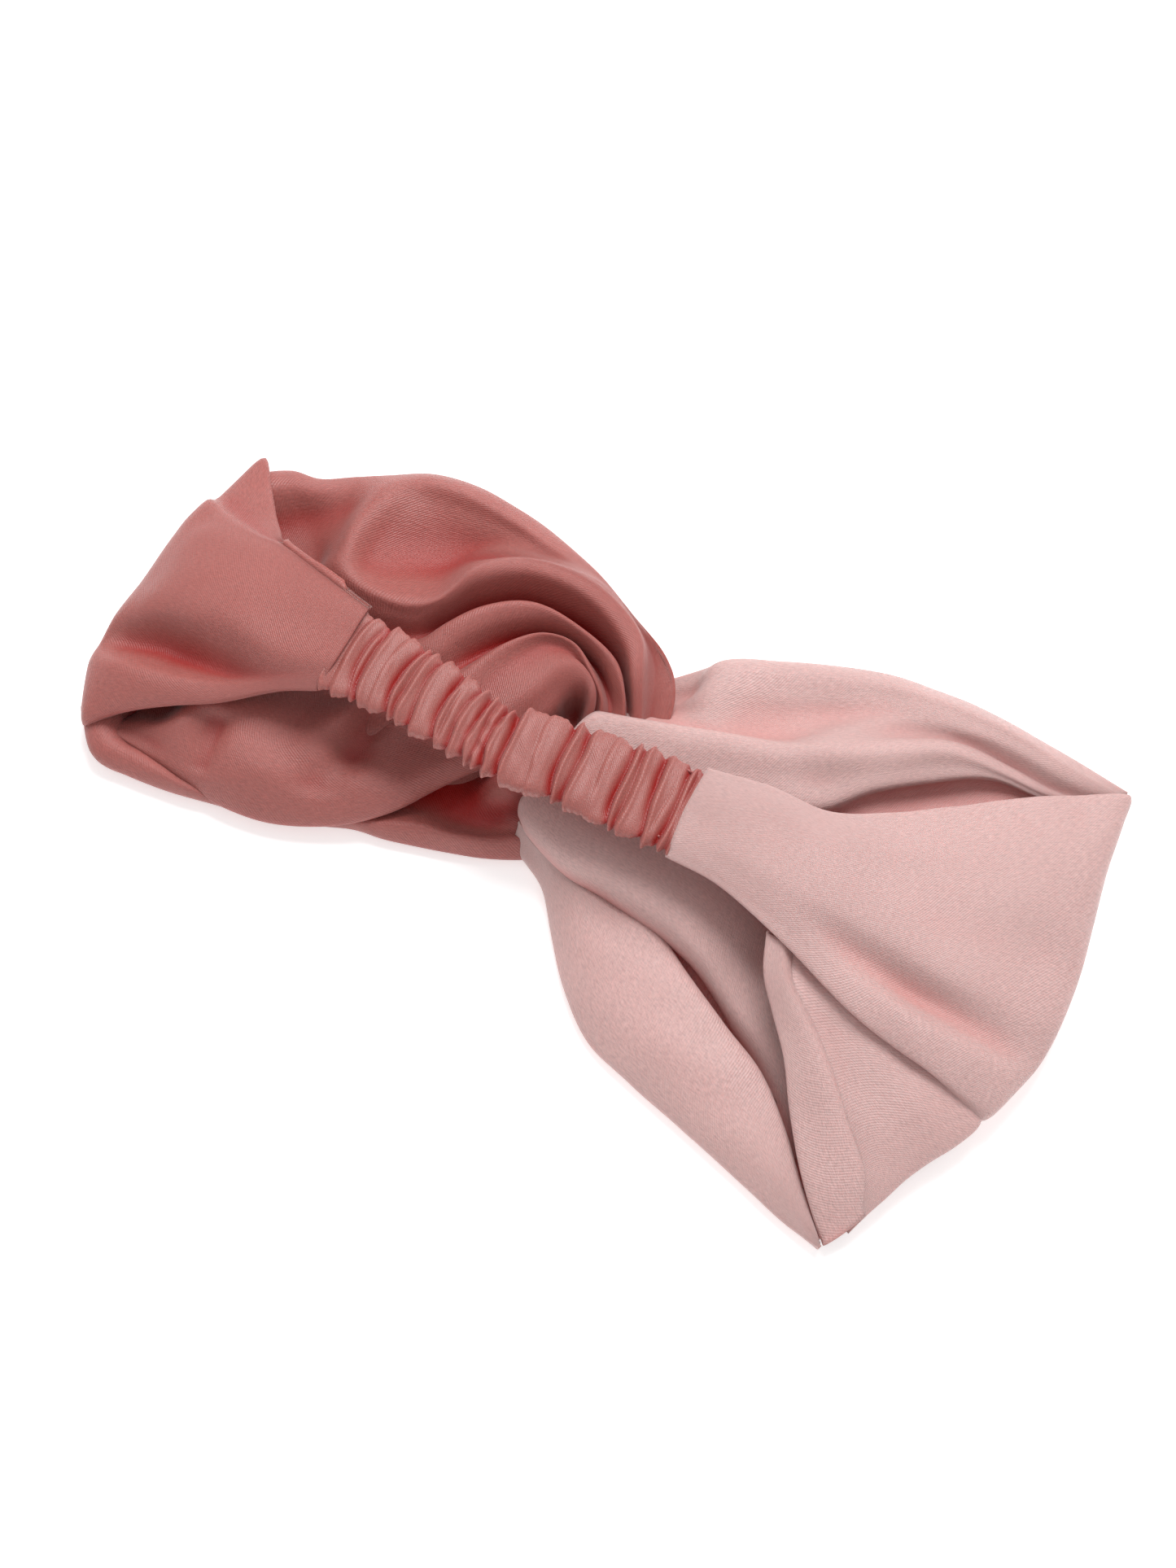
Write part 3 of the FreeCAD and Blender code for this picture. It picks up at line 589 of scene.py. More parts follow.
# The coral side panel, from its upper edge to its lower one, each rail from the end seam out to
# the fold and round under it.
CORAL_SIDE = [
    [(-66, 13, 30), (-79, 16.5, 28), (-94, 22, 22.5), (-99, 27, 18.5), (-105, 34, 13.5), (-110, 41, 9),
     (-114, 47, 6), (-113, 45.5, 3), (-108, 40, 2)],
    [(-66, 16.3, 34.3), (-79, 20, 31.5), (-95, 25.3, 26.2), (-99.5, 30, 21.8), (-104.5, 35.6, 17),
     (-110.5, 43, 13.2), (-117.3, 51.5, 10), (-118, 49.5, 6), (-111, 43, 2.5)],
    [(-66, 16, 34.5), (-79.3, 19.9, 31.4), (-94.9, 25, 26.2), (-101.3, 26.2, 23.4), (-108.4, 28.6, 20.2),
     (-114.8, 31.6, 17), (-121, 34.4, 13.2), (-121.5, 34, 7), (-113, 33, 2.5)],
    [(-66, 15.7, 34.8), (-79.5, 19.4, 32), (-95, 23.8, 28.2), (-102, 24.6, 26.2), (-109.5, 26.6, 23.4),
     (-116, 29, 20.4), (-122, 31.5, 16.6), (-122.5, 31.5, 8), (-113.5, 30, 2.5)],
    [(-66, 14.8, 35), (-80, 18.4, 32.4), (-95, 22.6, 28.8), (-103, 23, 26.9), (-111, 23.6, 24.6),
     (-117, 24.3, 21.9), (-123.4, 25.4, 17.4), (-124, 25, 8), (-114, 24, 2.5)],
    [(-66, 11.5, 35.6), (-80.5, 14.5, 33.2), (-96, 18, 30.2), (-105, 18.5, 28), (-113.5, 18.5, 25.2),
     (-119, 18.5, 22.4), (-124.3, 18.5, 17), (-125, 18, 8), (-115, 17, 2.5)],
    [(-66, 5, 36), (-81, 6, 33.8), (-97, 6.5, 31.2), (-107, 6.5, 28.8), (-115, 6, 25), (-120.5, 5.5, 21),
     (-125.5, 5, 15.5), (-126, 5, 7), (-115.5, 5, 2.5)],
    [(-66.3, -1, 35.6), (-81, -3.5, 32.3), (-97, -1.5, 29.5), (-105.5, -2.5, 27.2), (-113.5, -3, 24),
     (-121, -5, 20.2), (-126.8, -6.5, 15), (-126.5, -6, 7), (-115.5, -5, 2.5)],
    [(-66.8, -4.5, 34.2), (-81, -8, 27.6), (-93, -9.5, 20.4), (-104, -9.8, 17), (-112, -10, 15.6),
     (-119, -11.8, 14.6), (-126.8, -13.5, 12.6), (-126.5, -13, 6.5), (-115.5, -12, 2.5)],
    [(-67.2, -6.5, 32.6), (-80, -10, 27.2), (-93, -14.5, 23.4), (-103.5, -17.5, 22), (-112.5, -19, 20.8),
     (-120, -20, 18.4), (-126.3, -21, 13), (-126, -20, 6.3), (-115, -18, 2.5)],
    [(-67.6, -7.8, 30.5), (-78.5, -11.3, 26.2), (-91, -18.6, 21.5), (-101.5, -23.2, 18.7),
     (-110, -27, 15.5), (-115.8, -30, 12.5), (-120.6, -33.3, 9.6), (-121, -33, 6), (-113, -29, 3)],
    [(-66.8, -5.5, 27.8), (-77, -8.5, 22.8), (-89.5, -15, 17.5), (-100, -19.5, 14.3),
     (-108, -23.5, 11.6), (-113.5, -27, 9.2), (-117.5, -30.5, 7.2), (-117.5, -30, 5), (-111, -25, 3)],
]

# The pink side panel down to its pleat, laid out as the coral one is.
PINK_SIDE = [
    [(26, 12, 31), (40, 15.5, 29.5), (55, 17, 27.5), (66, 23, 24), (79, 33, 19.5), (92, 44, 15.5),
     (103, 53, 11.5), (111.5, 60.5, 8.5), (110, 60, 4), (104, 56, 2.5)],
    [(26, 15.3, 34.3), (40, 18.5, 32.8), (56, 20.3, 30.2), (68, 27.5, 27), (81, 38, 23.3),
     (94, 49, 19.3), (105.5, 57.5, 16), (117, 64.6, 13.6), (116, 63.5, 6.5), (107, 60, 2.5)],
    [(26, 13.5, 35), (40, 16, 34), (57, 18.5, 31.4), (70, 24, 28.6), (83, 33, 25.4), (96, 43.5, 21.6),
     (107, 51.5, 18), (118.2, 57.5, 13.8), (117.2, 56.5, 6.5), (108, 53.5, 2.5)],
    [(26, 10, 35.5), (40, 12, 35), (58, 15, 32.6), (72, 19, 30.3), (85, 25, 27.8), (98, 32.5, 24.3),
     (109, 39, 20.4), (119.8, 44, 14.2), (118.8, 43, 6.5), (109.5, 41, 2.5)],
    [(26, 6.5, 35.8), (40, 8, 35.3), (59, 11, 33.4), (74, 13.5, 31), (86, 17, 28.4), (99, 21.5, 25),
     (110.5, 26.5, 20.8), (122.5, 30, 13.6), (121.3, 29.5, 6.5), (111, 28.5, 2.5)],
    [(26, 3, 35.7), (40, 3, 35.2), (60, 4, 33.5), (76, 4.5, 31), (89, 6, 27.5), (101, 9.5, 23.5),
     (112, 13.5, 19.2), (125, 16, 12.6), (123.8, 15.5, 6.5), (112.8, 14.5, 2.5)],
    [(26.3, -1, 35.2), (40.5, -2, 34.4), (61, -2.5, 32.6), (77, -3, 29.8), (90, -3.5, 26.6),
     (102, -2.5, 22.8), (113, -.5, 18.6), (126, 1.5, 11.8), (124.8, 1.5, 6.3), (113.5, 1, 2.5)],
    [(26.6, -4.5, 34.2), (41, -5, 33), (61.5, -7, 30.6), (78, -8.5, 25.2), (90.5, -9.5, 21.2),
     (102.5, -9.2, 18.2), (113, -9, 15.4), (125.4, -8, 10.2), (124.2, -8, 6.2), (113.3, -8, 2.5)],
    [(26.8, -7, 32.8), (41, -7.5, 31.5), (61.5, -11, 28.8), (79, -14.5, 26), (91.5, -15.5, 24.4),
     (103, -15.6, 22), (113.5, -15.5, 18.2), (123.6, -15.5, 11), (122.4, -15.5, 6), (112.5, -15.5, 2.5)],
    [(27, -8.6, 31), (41, -8.8, 29.8), (61.5, -14.2, 26.6), (80, -20.5, 23.4), (92.5, -22.8, 21),
     (103.5, -23.8, 18.8), (112.5, -24.2, 15.6), (121, -24, 10.4), (119.8, -24, 5.8),
     (110.8, -23.5, 2.5)],
    [(29, -5, 28), (43, -5.5, 26.5), (61, -9.5, 23), (79, -16.5, 19.6), (91.5, -20, 17.4),
     (102.5, -22.8, 15.8), (110.5, -25, 13.2), (118.5, -26.5, 9), (117.5, -26, 5.4), (109, -25, 2.5)],
]

# The pink side panel below its pleat, from under the pleat down to the point, each rail from
# the hem out to the fold and round under it.
PINK_SKIRT = [
    [(58, -9, 22.5), (61, -11, 23.5), (75, -14, 22), (91, -17.5, 19), (106, -19.5, 15.5),
     (118, -21, 9.5), (115, -21, 4)],
    [(63, -16, 22), (65, -17.5, 23), (78, -20.5, 21), (93, -23.5, 18.3), (107, -26, 15),
     (119.3, -27.5, 9.6), (116.5, -27, 4)],
    [(66, -22.5, 21), (68, -24, 22), (80, -26, 19), (93.5, -28.5, 17.6), (106, -31.8, 15.3),
     (116.8, -34, 9), (114, -33, 4)],
    [(72, -27.5, 19), (74, -28.5, 20.2), (84, -31.5, 17.2), (94.5, -35, 15.8), (104.5, -38.5, 13.4),
     (113, -40.5, 8.3), (110.5, -39.5, 3.8)],
    [(79, -33.5, 16.6), (81, -34.3, 17.8), (88.5, -38, 15.6), (96.5, -42, 14), (103.5, -45, 12),
     (109.8, -46.8, 7.8), (107.5, -45.5, 3.6)],
    [(87, -41, 13.2), (89, -42, 14.4), (94, -45.5, 13), (99.5, -49, 11.8), (104, -51.5, 10),
     (107.5, -53, 7), (105, -51.5, 3.4)],
    [(95, -49, 9.6), (97, -50, 10.8), (99.5, -52.5, 10.2), (102, -55, 9.2), (104, -57, 8),
     (105.2, -58.5, 6), (103, -57, 3.2)],
    [(99, -57, 6), (100.5, -58, 7), (101.5, -60, 6.8), (102.3, -61.8, 6.2), (102.8, -63.2, 5.4),
     (103, -64, 4.6), (101, -62.5, 2.8)],
]

# The turned hem along the pink side panel's lower edge, each rail from the pleat to the point.
PINK_HEM = [
    [(62, -11, 23.6), (66, -18.5, 22.2), (72, -23.5, 20.8), (78.5, -28.5, 18.6), (86, -35, 15.6),
     (94, -43, 12.4), (101, -49.5, 9.6), (104.5, -54.5, 6.4)],
    [(60.5, -12.5, 25.6), (64.5, -19.5, 24.2), (70.5, -25.2, 22.4), (77.5, -30.2, 20.4),
     (85.2, -37, 17.6), (93.5, -45, 14.2), (101, -51.5, 10.8), (105.6, -56, 7)],
    [(58, -13, 26), (61.5, -21, 23.8), (67, -27.5, 20.8), (74, -34.5, 18.2), (82, -43.5, 15.2),
     (90.5, -53, 11.8), (98, -60, 8.8), (103, -63.5, 5.8)],
    [(55.5, -12.5, 25.6), (59, -21, 22.6), (64.5, -27.5, 19.4), (71.5, -35.5, 16.6), (78.5, -46, 13.2),
     (86.5, -56.5, 9.9), (94, -64.5, 6.6), (99.3, -69.2, 4.4)],
    [(57, -10.5, 23), (60.5, -19, 20.4), (66, -26, 17.2), (73, -34.5, 14.2), (80, -45, 11),
     (88, -56, 7.6), (95, -63.5, 4.6), (99, -67.5, 3)],
]

# The pink inner layer's upper half: the far edge, the hollow behind, and the band that comes out
# of the knot. Each rail runs from the knot to the corner at the folded end.
PINK_BAND = [
    [(-2, 34, .8), (8, 40, .8), (16, 46, .8), (26, 51, .8), (37, 56, .8), (49, 60, .8), (60, 62, .8),
     (72, 63, .8), (86, 62, .8), (99, 60, .8), (109, 58, .8)],
    [(-1, 42, 6), (7, 48.5, 8), (15, 55, 9.5), (25, 60, 9), (37, 65, 9), (49, 68.5, 9.5), (61, 70, 10),
     (74, 70.5, 10.5), (88, 69.3, 11), (102, 67.5, 12), (116, 64.8, 13)],
    [(0, 40, 6.5), (8, 45.5, 8.5), (12, 50.5, 13.5), (26, 56, 14), (38, 60.5, 14), (50, 64, 14.5),
     (62, 65.5, 16), (75, 66, 16.8), (88, 65.5, 16.8), (101.5, 64.2, 15.5), (115.5, 63.5, 13.8)],
    [(0, 37, 6), (8.5, 42.5, 7), (13, 46, 13.8), (27, 50, 13), (39, 55, 13), (51, 60, 14),
     (63, 62.5, 16.3), (76, 63.5, 17.2), (88.5, 63.3, 17), (101, 62.3, 15.8), (114.5, 62.5, 13.9)],
    [(-1, 33, 6), (7, 38.5, 7), (13.5, 41, 13.8), (26, 44, 11.5), (37, 48.5, 11.5), (50, 54.5, 13.5),
     (63.5, 59, 16.2), (77, 60.8, 16.9), (89, 61, 16.4), (100.5, 60.3, 15), (113, 61.5, 13.7)],
    [(-3, 30, 9), (6, 35, 8), (14.5, 36, 13), (25.5, 38, 11.5), (36.5, 41, 13), (48, 48, 16),
     (61, 54.5, 15.6), (75, 58.8, 14.5), (88, 59, 13.4), (99.5, 58.3, 12.4), (111, 60, 12.8)],
    [(-6, 27.5, 11), (4, 30, 11), (14, 32, 13), (25, 34.5, 14), (36, 37.5, 16.5), (46.5, 43, 18.3),
     (59.5, 51, 16.8), (73.5, 57.3, 14.8), (87, 58.4, 13.2), (99, 57.6, 12.2), (110, 59, 12.4)],
    [(-9, 24.5, 14.5), (2, 26.8, 16.7), (13, 29.7, 17.8), (24.5, 32.6, 18.8), (36, 35.6, 19.8),
     (47.5, 39.8, 20.4), (59, 48.5, 18.8), (72.5, 55.8, 17.4), (86, 57.2, 15.2), (98.5, 56.6, 13),
     (109, 58.3, 12.3)],
    [(-11, 20, 14.5), (1, 23, 16.8), (13, 26, 18.6), (25, 29, 19.8), (37, 32.5, 20.6), (49, 37.5, 20.6),
     (61, 46, 19.9), (73, 52.8, 18.8), (86, 55, 16), (98, 55.6, 13.2), (108, 57.6, 12)],
    [(-12, 14, 12.5), (1, 17, 14.5), (14, 20, 16.8), (26.5, 23.5, 18.2), (39, 27.5, 18.6),
     (50, 32, 18.2), (62, 41, 17.8), (74, 49.5, 17), (86, 53.8, 15.2), (97.5, 55, 12.8),
     (107.5, 57, 11.8)],
    [(-11, 10, 10.5), (2, 12.5, 12.5), (15, 15.5, 14.5), (27.5, 18.5, 16.2), (40, 21.5, 16.8),
     (51.5, 25.5, 16.6), (61.5, 36, 16), (73, 45, 15.6), (85.5, 52.6, 14.4), (97, 54.3, 12.2),
     (107, 56.5, 11.5)],
    [(-9, 8, 8), (3, 10, 10), (16, 13, 12), (28.5, 16.5, 13), (41, 20, 13), (53, 26, 12.8), (62, 37, 12),
     (73, 46, 11.4), (85, 53, 11), (96.5, 54.5, 10.8), (106, 56, 10.6)],
    [(-6, 2, 6), (6, 3, 7), (19, 4.5, 9), (31.5, 6.5, 10), (44, 9, 10), (56, 14, 10), (66, 25, 10),
     (77, 35, 10), (88, 44, 10), (98, 50, 10), (107, 53, 10)],
]

# The pink inner layer's lower half, a soft roll that comes out from under the casing.
PINK_ROLL = [
    [(-12, -4, 7), (-8, -7, 7), (-2, -10, 7), (6, -12, 6.5), (15, -13, 6), (25, -15, 5.5), (34, -17, 5),
     (43, -20, 4.5), (51, -24, 4), (58, -29, 3.4), (65, -34, 3), (73, -42, 3), (82, -53, 3)],
    [(-13, -8, 12), (-9, -11.3, 12), (-2.5, -14.2, 11.5), (5.5, -16.6, 11), (15, -17.2, 10.5),
     (25, -18.8, 10), (34, -20.3, 9), (42.5, -23, 8), (50, -27, 6.5), (57, -31.5, 4.2), (65, -36, 3.4),
     (74, -43, 3.4), (84, -53, 3.4)],
    [(-14, -5, 16), (-10, -9, 16.6), (-3.5, -12, 17.3), (5, -14.5, 17.8), (15, -15.3, 17.9),
     (25, -17, 17.5), (34, -18.8, 16.8), (42, -21, 15), (49.5, -24, 11.8), (57, -28.5, 9),
     (66, -33.5, 7.5), (75.5, -40, 6), (86, -50, 4.4)],
    [(-12, -1, 18), (-7, -4, 19), (1, -7, 19.6), (9, -8.5, 20), (19, -10, 20), (28.5, -11.5, 19.3),
     (37, -13.5, 17.8), (45, -16, 15.5), (52.5, -18.5, 12.3), (59.5, -24, 10), (67.5, -30, 9),
     (77, -37, 7.5), (88, -46, 5.4)],
    [(-9, 5, 17.5), (-2, 2, 18.5), (6, -1, 19), (14, -3, 19.2), (23, -4, 18.6), (32, -5, 17.2),
     (41, -7, 15.2), (49, -9.5, 13), (56, -13, 10.3), (62.5, -19, 10), (69.5, -26, 9.4), (79, -33, 8),
     (90, -42, 6)],
    [(-5, 12, 13), (3, 9, 14), (12, 6, 14), (21, 4, 13.5), (30, 2.5, 12.5), (39, 1, 11),
     (47.5, -1.5, 9.5), (55, -5, 8), (61, -9, 9), (67, -15, 9.4), (73, -22, 9), (82, -29, 8),
     (92, -38, 6.5)],
]

# The pink outer layer on the table, from its lower edge up: a broad flap whose upper edge
# stands free, and then the layer's inner face, as far as the other side.
PINK_OUTER = [
    [(-9, -8, .6), (-4, -11, .6), (2, -16, .6), (10, -25, .6), (19, -34, .6), (30, -41, .6),
     (44, -47, .6), (59, -52, .6), (74, -57, .6), (88, -62, .6), (97, -65, .6)],
    [(-11.5, -13, 2.5), (-7, -14.8, 2), (-.5, -19, 1.5), (7, -28.5, 1.2), (16, -39, 1), (27, -48, 1),
     (41, -53, 1), (56, -57.3, 1), (72, -62, 1), (87, -66.8, 1.2), (98, -70, 2)],
    [(-12.5, -12.5, 5), (-7, -15.3, 4.5), (-.5, -19.5, 4.5), (7, -29, 4), (16, -39.8, 4),
     (27, -48.8, 3.8), (41, -53.8, 3.8), (56, -58.2, 3.8), (72, -63, 3.8), (87, -67.8, 3.8),
     (98.6, -70.3, 4)],
    [(-12.5, -10.5, 8.5), (-6.5, -13.2, 8.5), (1, -18, 9), (10, -26, 9.2), (20, -35, 9.2),
     (31, -42.5, 9), (44, -48.5, 8.6), (58, -53.5, 8.2), (73, -58.6, 7.6), (87, -65, 6.4),
     (98.2, -69.3, 5)],
    [(-12.5, -9.5, 10.5), (-6, -12.6, 10.5), (2.5, -16.5, 10.8), (13.5, -21.5, 11.4), (24, -28.5, 11.6),
     (35.5, -35, 11.5), (48, -41.5, 11), (61, -47.5, 10.2), (74, -53.5, 9), (86.5, -62, 7),
     (98, -69, 5)],
    [(-12.5, -8.5, 11.5), (-5, -12.5, 11.2), (4.5, -15.6, 11), (16.5, -16.9, 10.8), (28.5, -19.2, 11.3),
     (41, -26.2, 11.4), (54.5, -33.3, 10.8), (67.5, -39.6, 9.9), (78.5, -48.5, 8.2), (88, -58.5, 6.5),
     (97.7, -68.5, 4.6)],
    [(-12, -7, 9), (-4, -10.5, 9), (5, -13.5, 8.6), (17, -14.6, 8), (29, -17.6, 8.4), (41.5, -24.8, 8.6),
     (55, -32.2, 8), (67.5, -38.8, 7.4), (78, -48, 6), (87.5, -58, 4.6), (97, -67.5, 3.6)],
    [(-8, -9, 6), (-1, -13, 5.5), (8, -19, 5), (18, -24, 4.5), (30, -28, 4), (42, -34, 3.5),
     (54, -40, 3.2), (66, -46, 3), (77, -53, 2.8), (86.5, -60.5, 2.6), (96, -67, 2.6)],
    [(-10, -2, 3), (6, -6, 2.6), (18, -9, 2.4), (29, -12, 2.3), (41, -15, 2.3), (53, -20, 2.3),
     (64, -27, 2.3), (74, -35, 2.3), (83, -44, 2.3), (91, -54, 2.3), (97.5, -64, 2.3)],
    [(-14, 10, 2.3), (9, 8, 2.3), (25, 6, 2.3), (37, 4, 2.3), (49, 2, 2.3), (61, -2, 2.3), (72, -8, 2.3),
     (82, -16, 2.3), (91, -26, 2.3), (98, -38, 2.3), (101, -54, 2.3)],
    [(-14, 26, 2.3), (9, 28, 2.3), (27, 29, 2.3), (40, 30, 2.3), (53, 29, 2.3), (66, 26, 2.3),
     (79, 20, 2.3), (90, 11, 2.3), (100, -2, 2.3), (106, -18, 2.3), (106, -38, 2.3)],
    [(-10, 38, 2.3), (10, 45, 2.3), (27, 51, 2.3), (41, 56, 2.3), (55, 59, 2.3), (70, 60, 2.3),
     (85, 60, 2.3), (99, 56, 2.3), (109, 42, 2.3), (113, 20, 2.3), (112, -10, 2.3)],
]

# Gathers of the casing: where each crease meets the upper and the lower edge, as shares of the
# casing's length, and how deep it is beside the others.
GATHERS = [(0, -.01, 1), (.045, .035, .55), (.085, .085, .8), (.10, .105, 1), (.15, .14, .25),
           (.20, .19, 1.1), (.225, .215, .75), (.26, .26, .9), (.325, .33, 1.1), (.345, .35, .5),
           (.385, .375, .9), (.42, .42, 1), (.445, .45, .75), (.47, .475, 1.1), (.505, .525, 1.2),
           (.57, .60, .25), (.64, .665, 1.1), (.685, .70, 1), (.745, .765, .2), (.80, .825, 1.1),
           (.83, .85, .8), (.88, .92, 1.1), (.93, .94, .35), (.955, .965, 1), (.97, .99, .7),
           (.99, 1.02, 1)]

# The casing's line and half its width, against the share of its length, in millimetres.
CASING_LINE = [(0, 4.0, 11.9), (.2, 3.2, 11.2), (.33, 1.6, 10.6), (.42, 0, 10), (.5, -.6, 10),
               (.58, .9, 10.9), (.68, 2, 11.3), (.8, 2.8, 12.1), (1, 3.4, 12.4)]


# The casing's middle above the table, half its depth, and the room that its gathers need inside
# its half width, in millimetres.
CASING_HEIGHT, CASING_HALF_DEPTH, CASING_ROOM = 32.0, 2.2, 1.2

# How far the casing's cloth stands out from its tube, in millimetres.
PUFF = 0.9             # between two creases
CREASE_CUT = 1.9       # into a crease of depth 1
LIP_RISE = 0.55        # on the fold beside a crease
OVERLAP_RISE = 0.7     # where the pink half's gathers lie over the coral half's
SOFT_RISE = 0.3        # slow unevenness
PUCKER_RISE = 0.10     # small puckers along both edges
DEEPEST = -1.25        # no crease goes below this


def casing_line(share):
    """The casing's middle and half width at some shares of its length."""
    table = np.array(CASING_LINE)
    values = through(table[:, 1:], table[:, 0], np.clip(share, 0, 1).ravel())
    return values[:, 0].reshape(share.shape), values[:, 1].reshape(share.shape)


def casing_sheet():
    """The gathered casing: a flat tube round its own line, puffed between its creases."""
    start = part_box("casing_coral_half")[0].x / MM - 0.4
    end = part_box("casing_pink_half")[1].x / MM + 0.4
    around, along = 97, 380
    turn = np.linspace(0, 2 * math.pi, around) + math.pi
    s, a = np.meshgrid(np.linspace(0, 1, along), turn)
    up, tall = np.sin(a), np.cos(a)
    centre_y, half_wide = casing_line(s)
    waist = np.exp(-((s - 0.47) / 0.15) ** 2)

    crease = np.zeros_like(s)
    lip = np.zeros_like(s)
    for number, (high, low, deep) in enumerate(GATHERS):
        bow = 0.022 * ((high + low) / 2 - 0.8) * (1 - up**2)
        wander = 0.003 * np.sin(3 * a + 2.3 * number)
        place = (high + low) / 2 + (high - low) / 2 * up + bow + wander
        off = s - place
        reach = np.where(off < 0, 0.013, 0.006) * (0.75 + 0.5 * deep)
        uneven = 0.85 + 0.15 * np.sin(2.7 * a + 1.9 * number) + 0.15 * np.abs(up)
        crease = np.maximum(crease, deep * uneven * np.exp(-(np.abs(off) / reach) ** 1.1))
        lip = np.maximum(lip, deep * uneven * np.exp(-((off - 0.014) / 0.007) ** 2))
    overlap = np.clip((s - 0.517 + 0.008 * up) / 0.006, 0, 1) * np.exp(-np.clip(s - 0.52, 0, 1) / 0.05)
    crumple = np.exp(-((s - 0.455) / 0.05) ** 2)
    soft = np.sin(41 * s + 2.2 * up + 1.5 * np.sin(3 * a)) * np.sin(17 * s + 1.3 * up + 2)
    fine = np.sin(150 * s + 4 * up + 2 * np.sin(2 * a)) * np.sin(60 * s - 5 * up)
    pucker = np.sin(330 * s + 3 * np.sin(9 * s) + 2 * up) * np.abs(up) ** 8
    lift = PUFF - CREASE_CUT * crease + LIP_RISE * lip + OVERLAP_RISE * overlap + SOFT_RISE * soft
    lift += (0.08 + 0.4 * crumple) * fine + PUCKER_RISE * pucker
    lift = np.maximum(lift, DEEPEST)

    half_wide = half_wide - CASING_ROOM + lift * (0.55 + 0.45 * np.abs(up))
    half_deep = CASING_HALF_DEPTH + 0.5 * waist + lift
    y = centre_y + half_wide * np.abs(up) ** 0.85 * np.sign(up)
    z = CASING_HEIGHT + 0.5 * waist + half_deep * np.abs(tall) ** 0.7 * np.sign(tall)
    x = start + (end - start) * s - 0.5 * crease * (1 - crease)
    # The second value is painted shade, darkest along each crease.
    return np.stack([x, y, z], axis=2), np.clip(1.7 * crease - 0.6, -1, 1)


def elastic_sheet():
    """The elastic: a flat ribbed tube along the casing's line, narrower than the casing."""
    low, high = (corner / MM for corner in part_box("elastic_band"))
    around, along = 65, 160
    turn = np.linspace(0, 2 * math.pi, around) + math.pi
    s, a = np.meshgrid(np.linspace(0.01, 0.99, along), turn)
    centre_y, half_wide = casing_line(s)
    half_wide = np.minimum((high.y - low.y) / 2, half_wide - 3)
    half_deep = (high.z - low.z) / 2 - 0.15
    ribs = 0.12 * np.cos(14 * math.pi * np.sin(a))
    tall = np.cos(a)
    y = centre_y + half_wide * np.sin(a)
    z = (low.z + high.z) / 2 + (half_deep + ribs) * np.abs(tall) ** 0.35 * np.sign(tall)
    return np.stack([low.x + (high.x - low.x) * s, y, z], axis=2)


# ---------------------------------------------------------------- operators

class HeadbandOperator:
    """What the operators of the pieces share."""
    bl_options = {"REGISTER", "UNDO"}

    def sheet(self, context, rails, seed):
        """The loft of some rails, with the cloth's own unevenness."""
        settings = context.scene.headband_cloth
        made = loft(rails, settings.step / MM)
        ripples(made, settings.ripple / MM, 17.0, seed)
        return made

    def piece(self, context, name, sheet, start=0, end=1, most=0):
        """The sheet as a piece, with painted shade where it dips and more painted shade between two shares
        of the way across it.
        """
        # How much painted shade each point takes: how far it dips below the cloth round it, and the
        # painted shade across the sheet.
        tone_and_painted_shade = hollows(sheet) + painted_shade_across(sheet, start, end, most)
        return cloth(name, sheet, context.scene.headband_cloth.thickness, painted_shade_amount=tone_and_painted_shade)


class HEADBAND_OT_coral_front(bpy.types.Operator, HeadbandOperator):
    """Make the coral layers that lie on the table and their half of the knot"""
    bl_idname = "headband.coral_front"
    bl_label = "Coral front"

    def execute(self, context):
        material = coral_satin(context)
        swirl = self.sheet(context, CORAL_SWIRL, 3)
        lower = self.sheet(context, CORAL_LOWER, 4)
        outer = self.sheet(context, CORAL_OUTER, 5)
        fold(lower, [(-90, -17), (-89, -25), (-88, -34)], -2, 3, 5)
        # Each piece's painted shade grows between two shares of the way across it, to the most given.
        for name, made, shade, nodes in (
                ("coral_knot_swirl", swirl, (0, 1, 0), ("coral_knot_bend",)),
                ("coral_inner_cloth", lower, (0.16, 0, 0.4), ("coral_inner_layer",)),
                ("coral_outer_cloth", outer, (0.2, 0.3, 0.8), ("coral_outer_layer",))):
            piece = self.piece(context, name, made, *shade)
            dress(piece, material, nodes)
            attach(piece, "front")
        return {"FINISHED"}


class HEADBAND_OT_coral_side(bpy.types.Operator, HeadbandOperator):
    """Make the coral side panel, from the end seam round the folded end"""
    bl_idname = "headband.coral_side"
    bl_label = "Coral side"

    def execute(self, context):
        made = self.sheet(context, CORAL_SIDE, 6)
        piece = self.piece(context, "coral_side_cloth", made)
        dress(piece, coral_satin(context), ("coral_side_outer", "coral_side_inner"))
        bend_at_fold(piece)
        return {"FINISHED"}


class HEADBAND_OT_pink_front(bpy.types.Operator, HeadbandOperator):
    """Make the pink layers that lie on the table and their half of the knot"""
    bl_idname = "headband.pink_front"
    bl_label = "Pink front"

    def execute(self, context):
        material = pink_satin(context)
        # Each piece's painted shade grows between two shares of the way across it, to the most given.
        for name, rails, seed, shade, nodes in (
                ("pink_knot_band", PINK_BAND, 11, (0.75, 0.86, 0.5), ("pink_knot_bend",)),
                ("pink_inner_roll", PINK_ROLL, 12, (0.34, 0.12, 0.75), ("pink_inner_layer",)),
                ("pink_outer_cloth", PINK_OUTER, 13, (0.27, 0.33, 0.25), ("pink_outer_layer",))):
            piece = self.piece(context, name, self.sheet(context, rails, seed), *shade)
            dress(piece, material, nodes)
            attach(piece, "front")
        return {"FINISHED"}


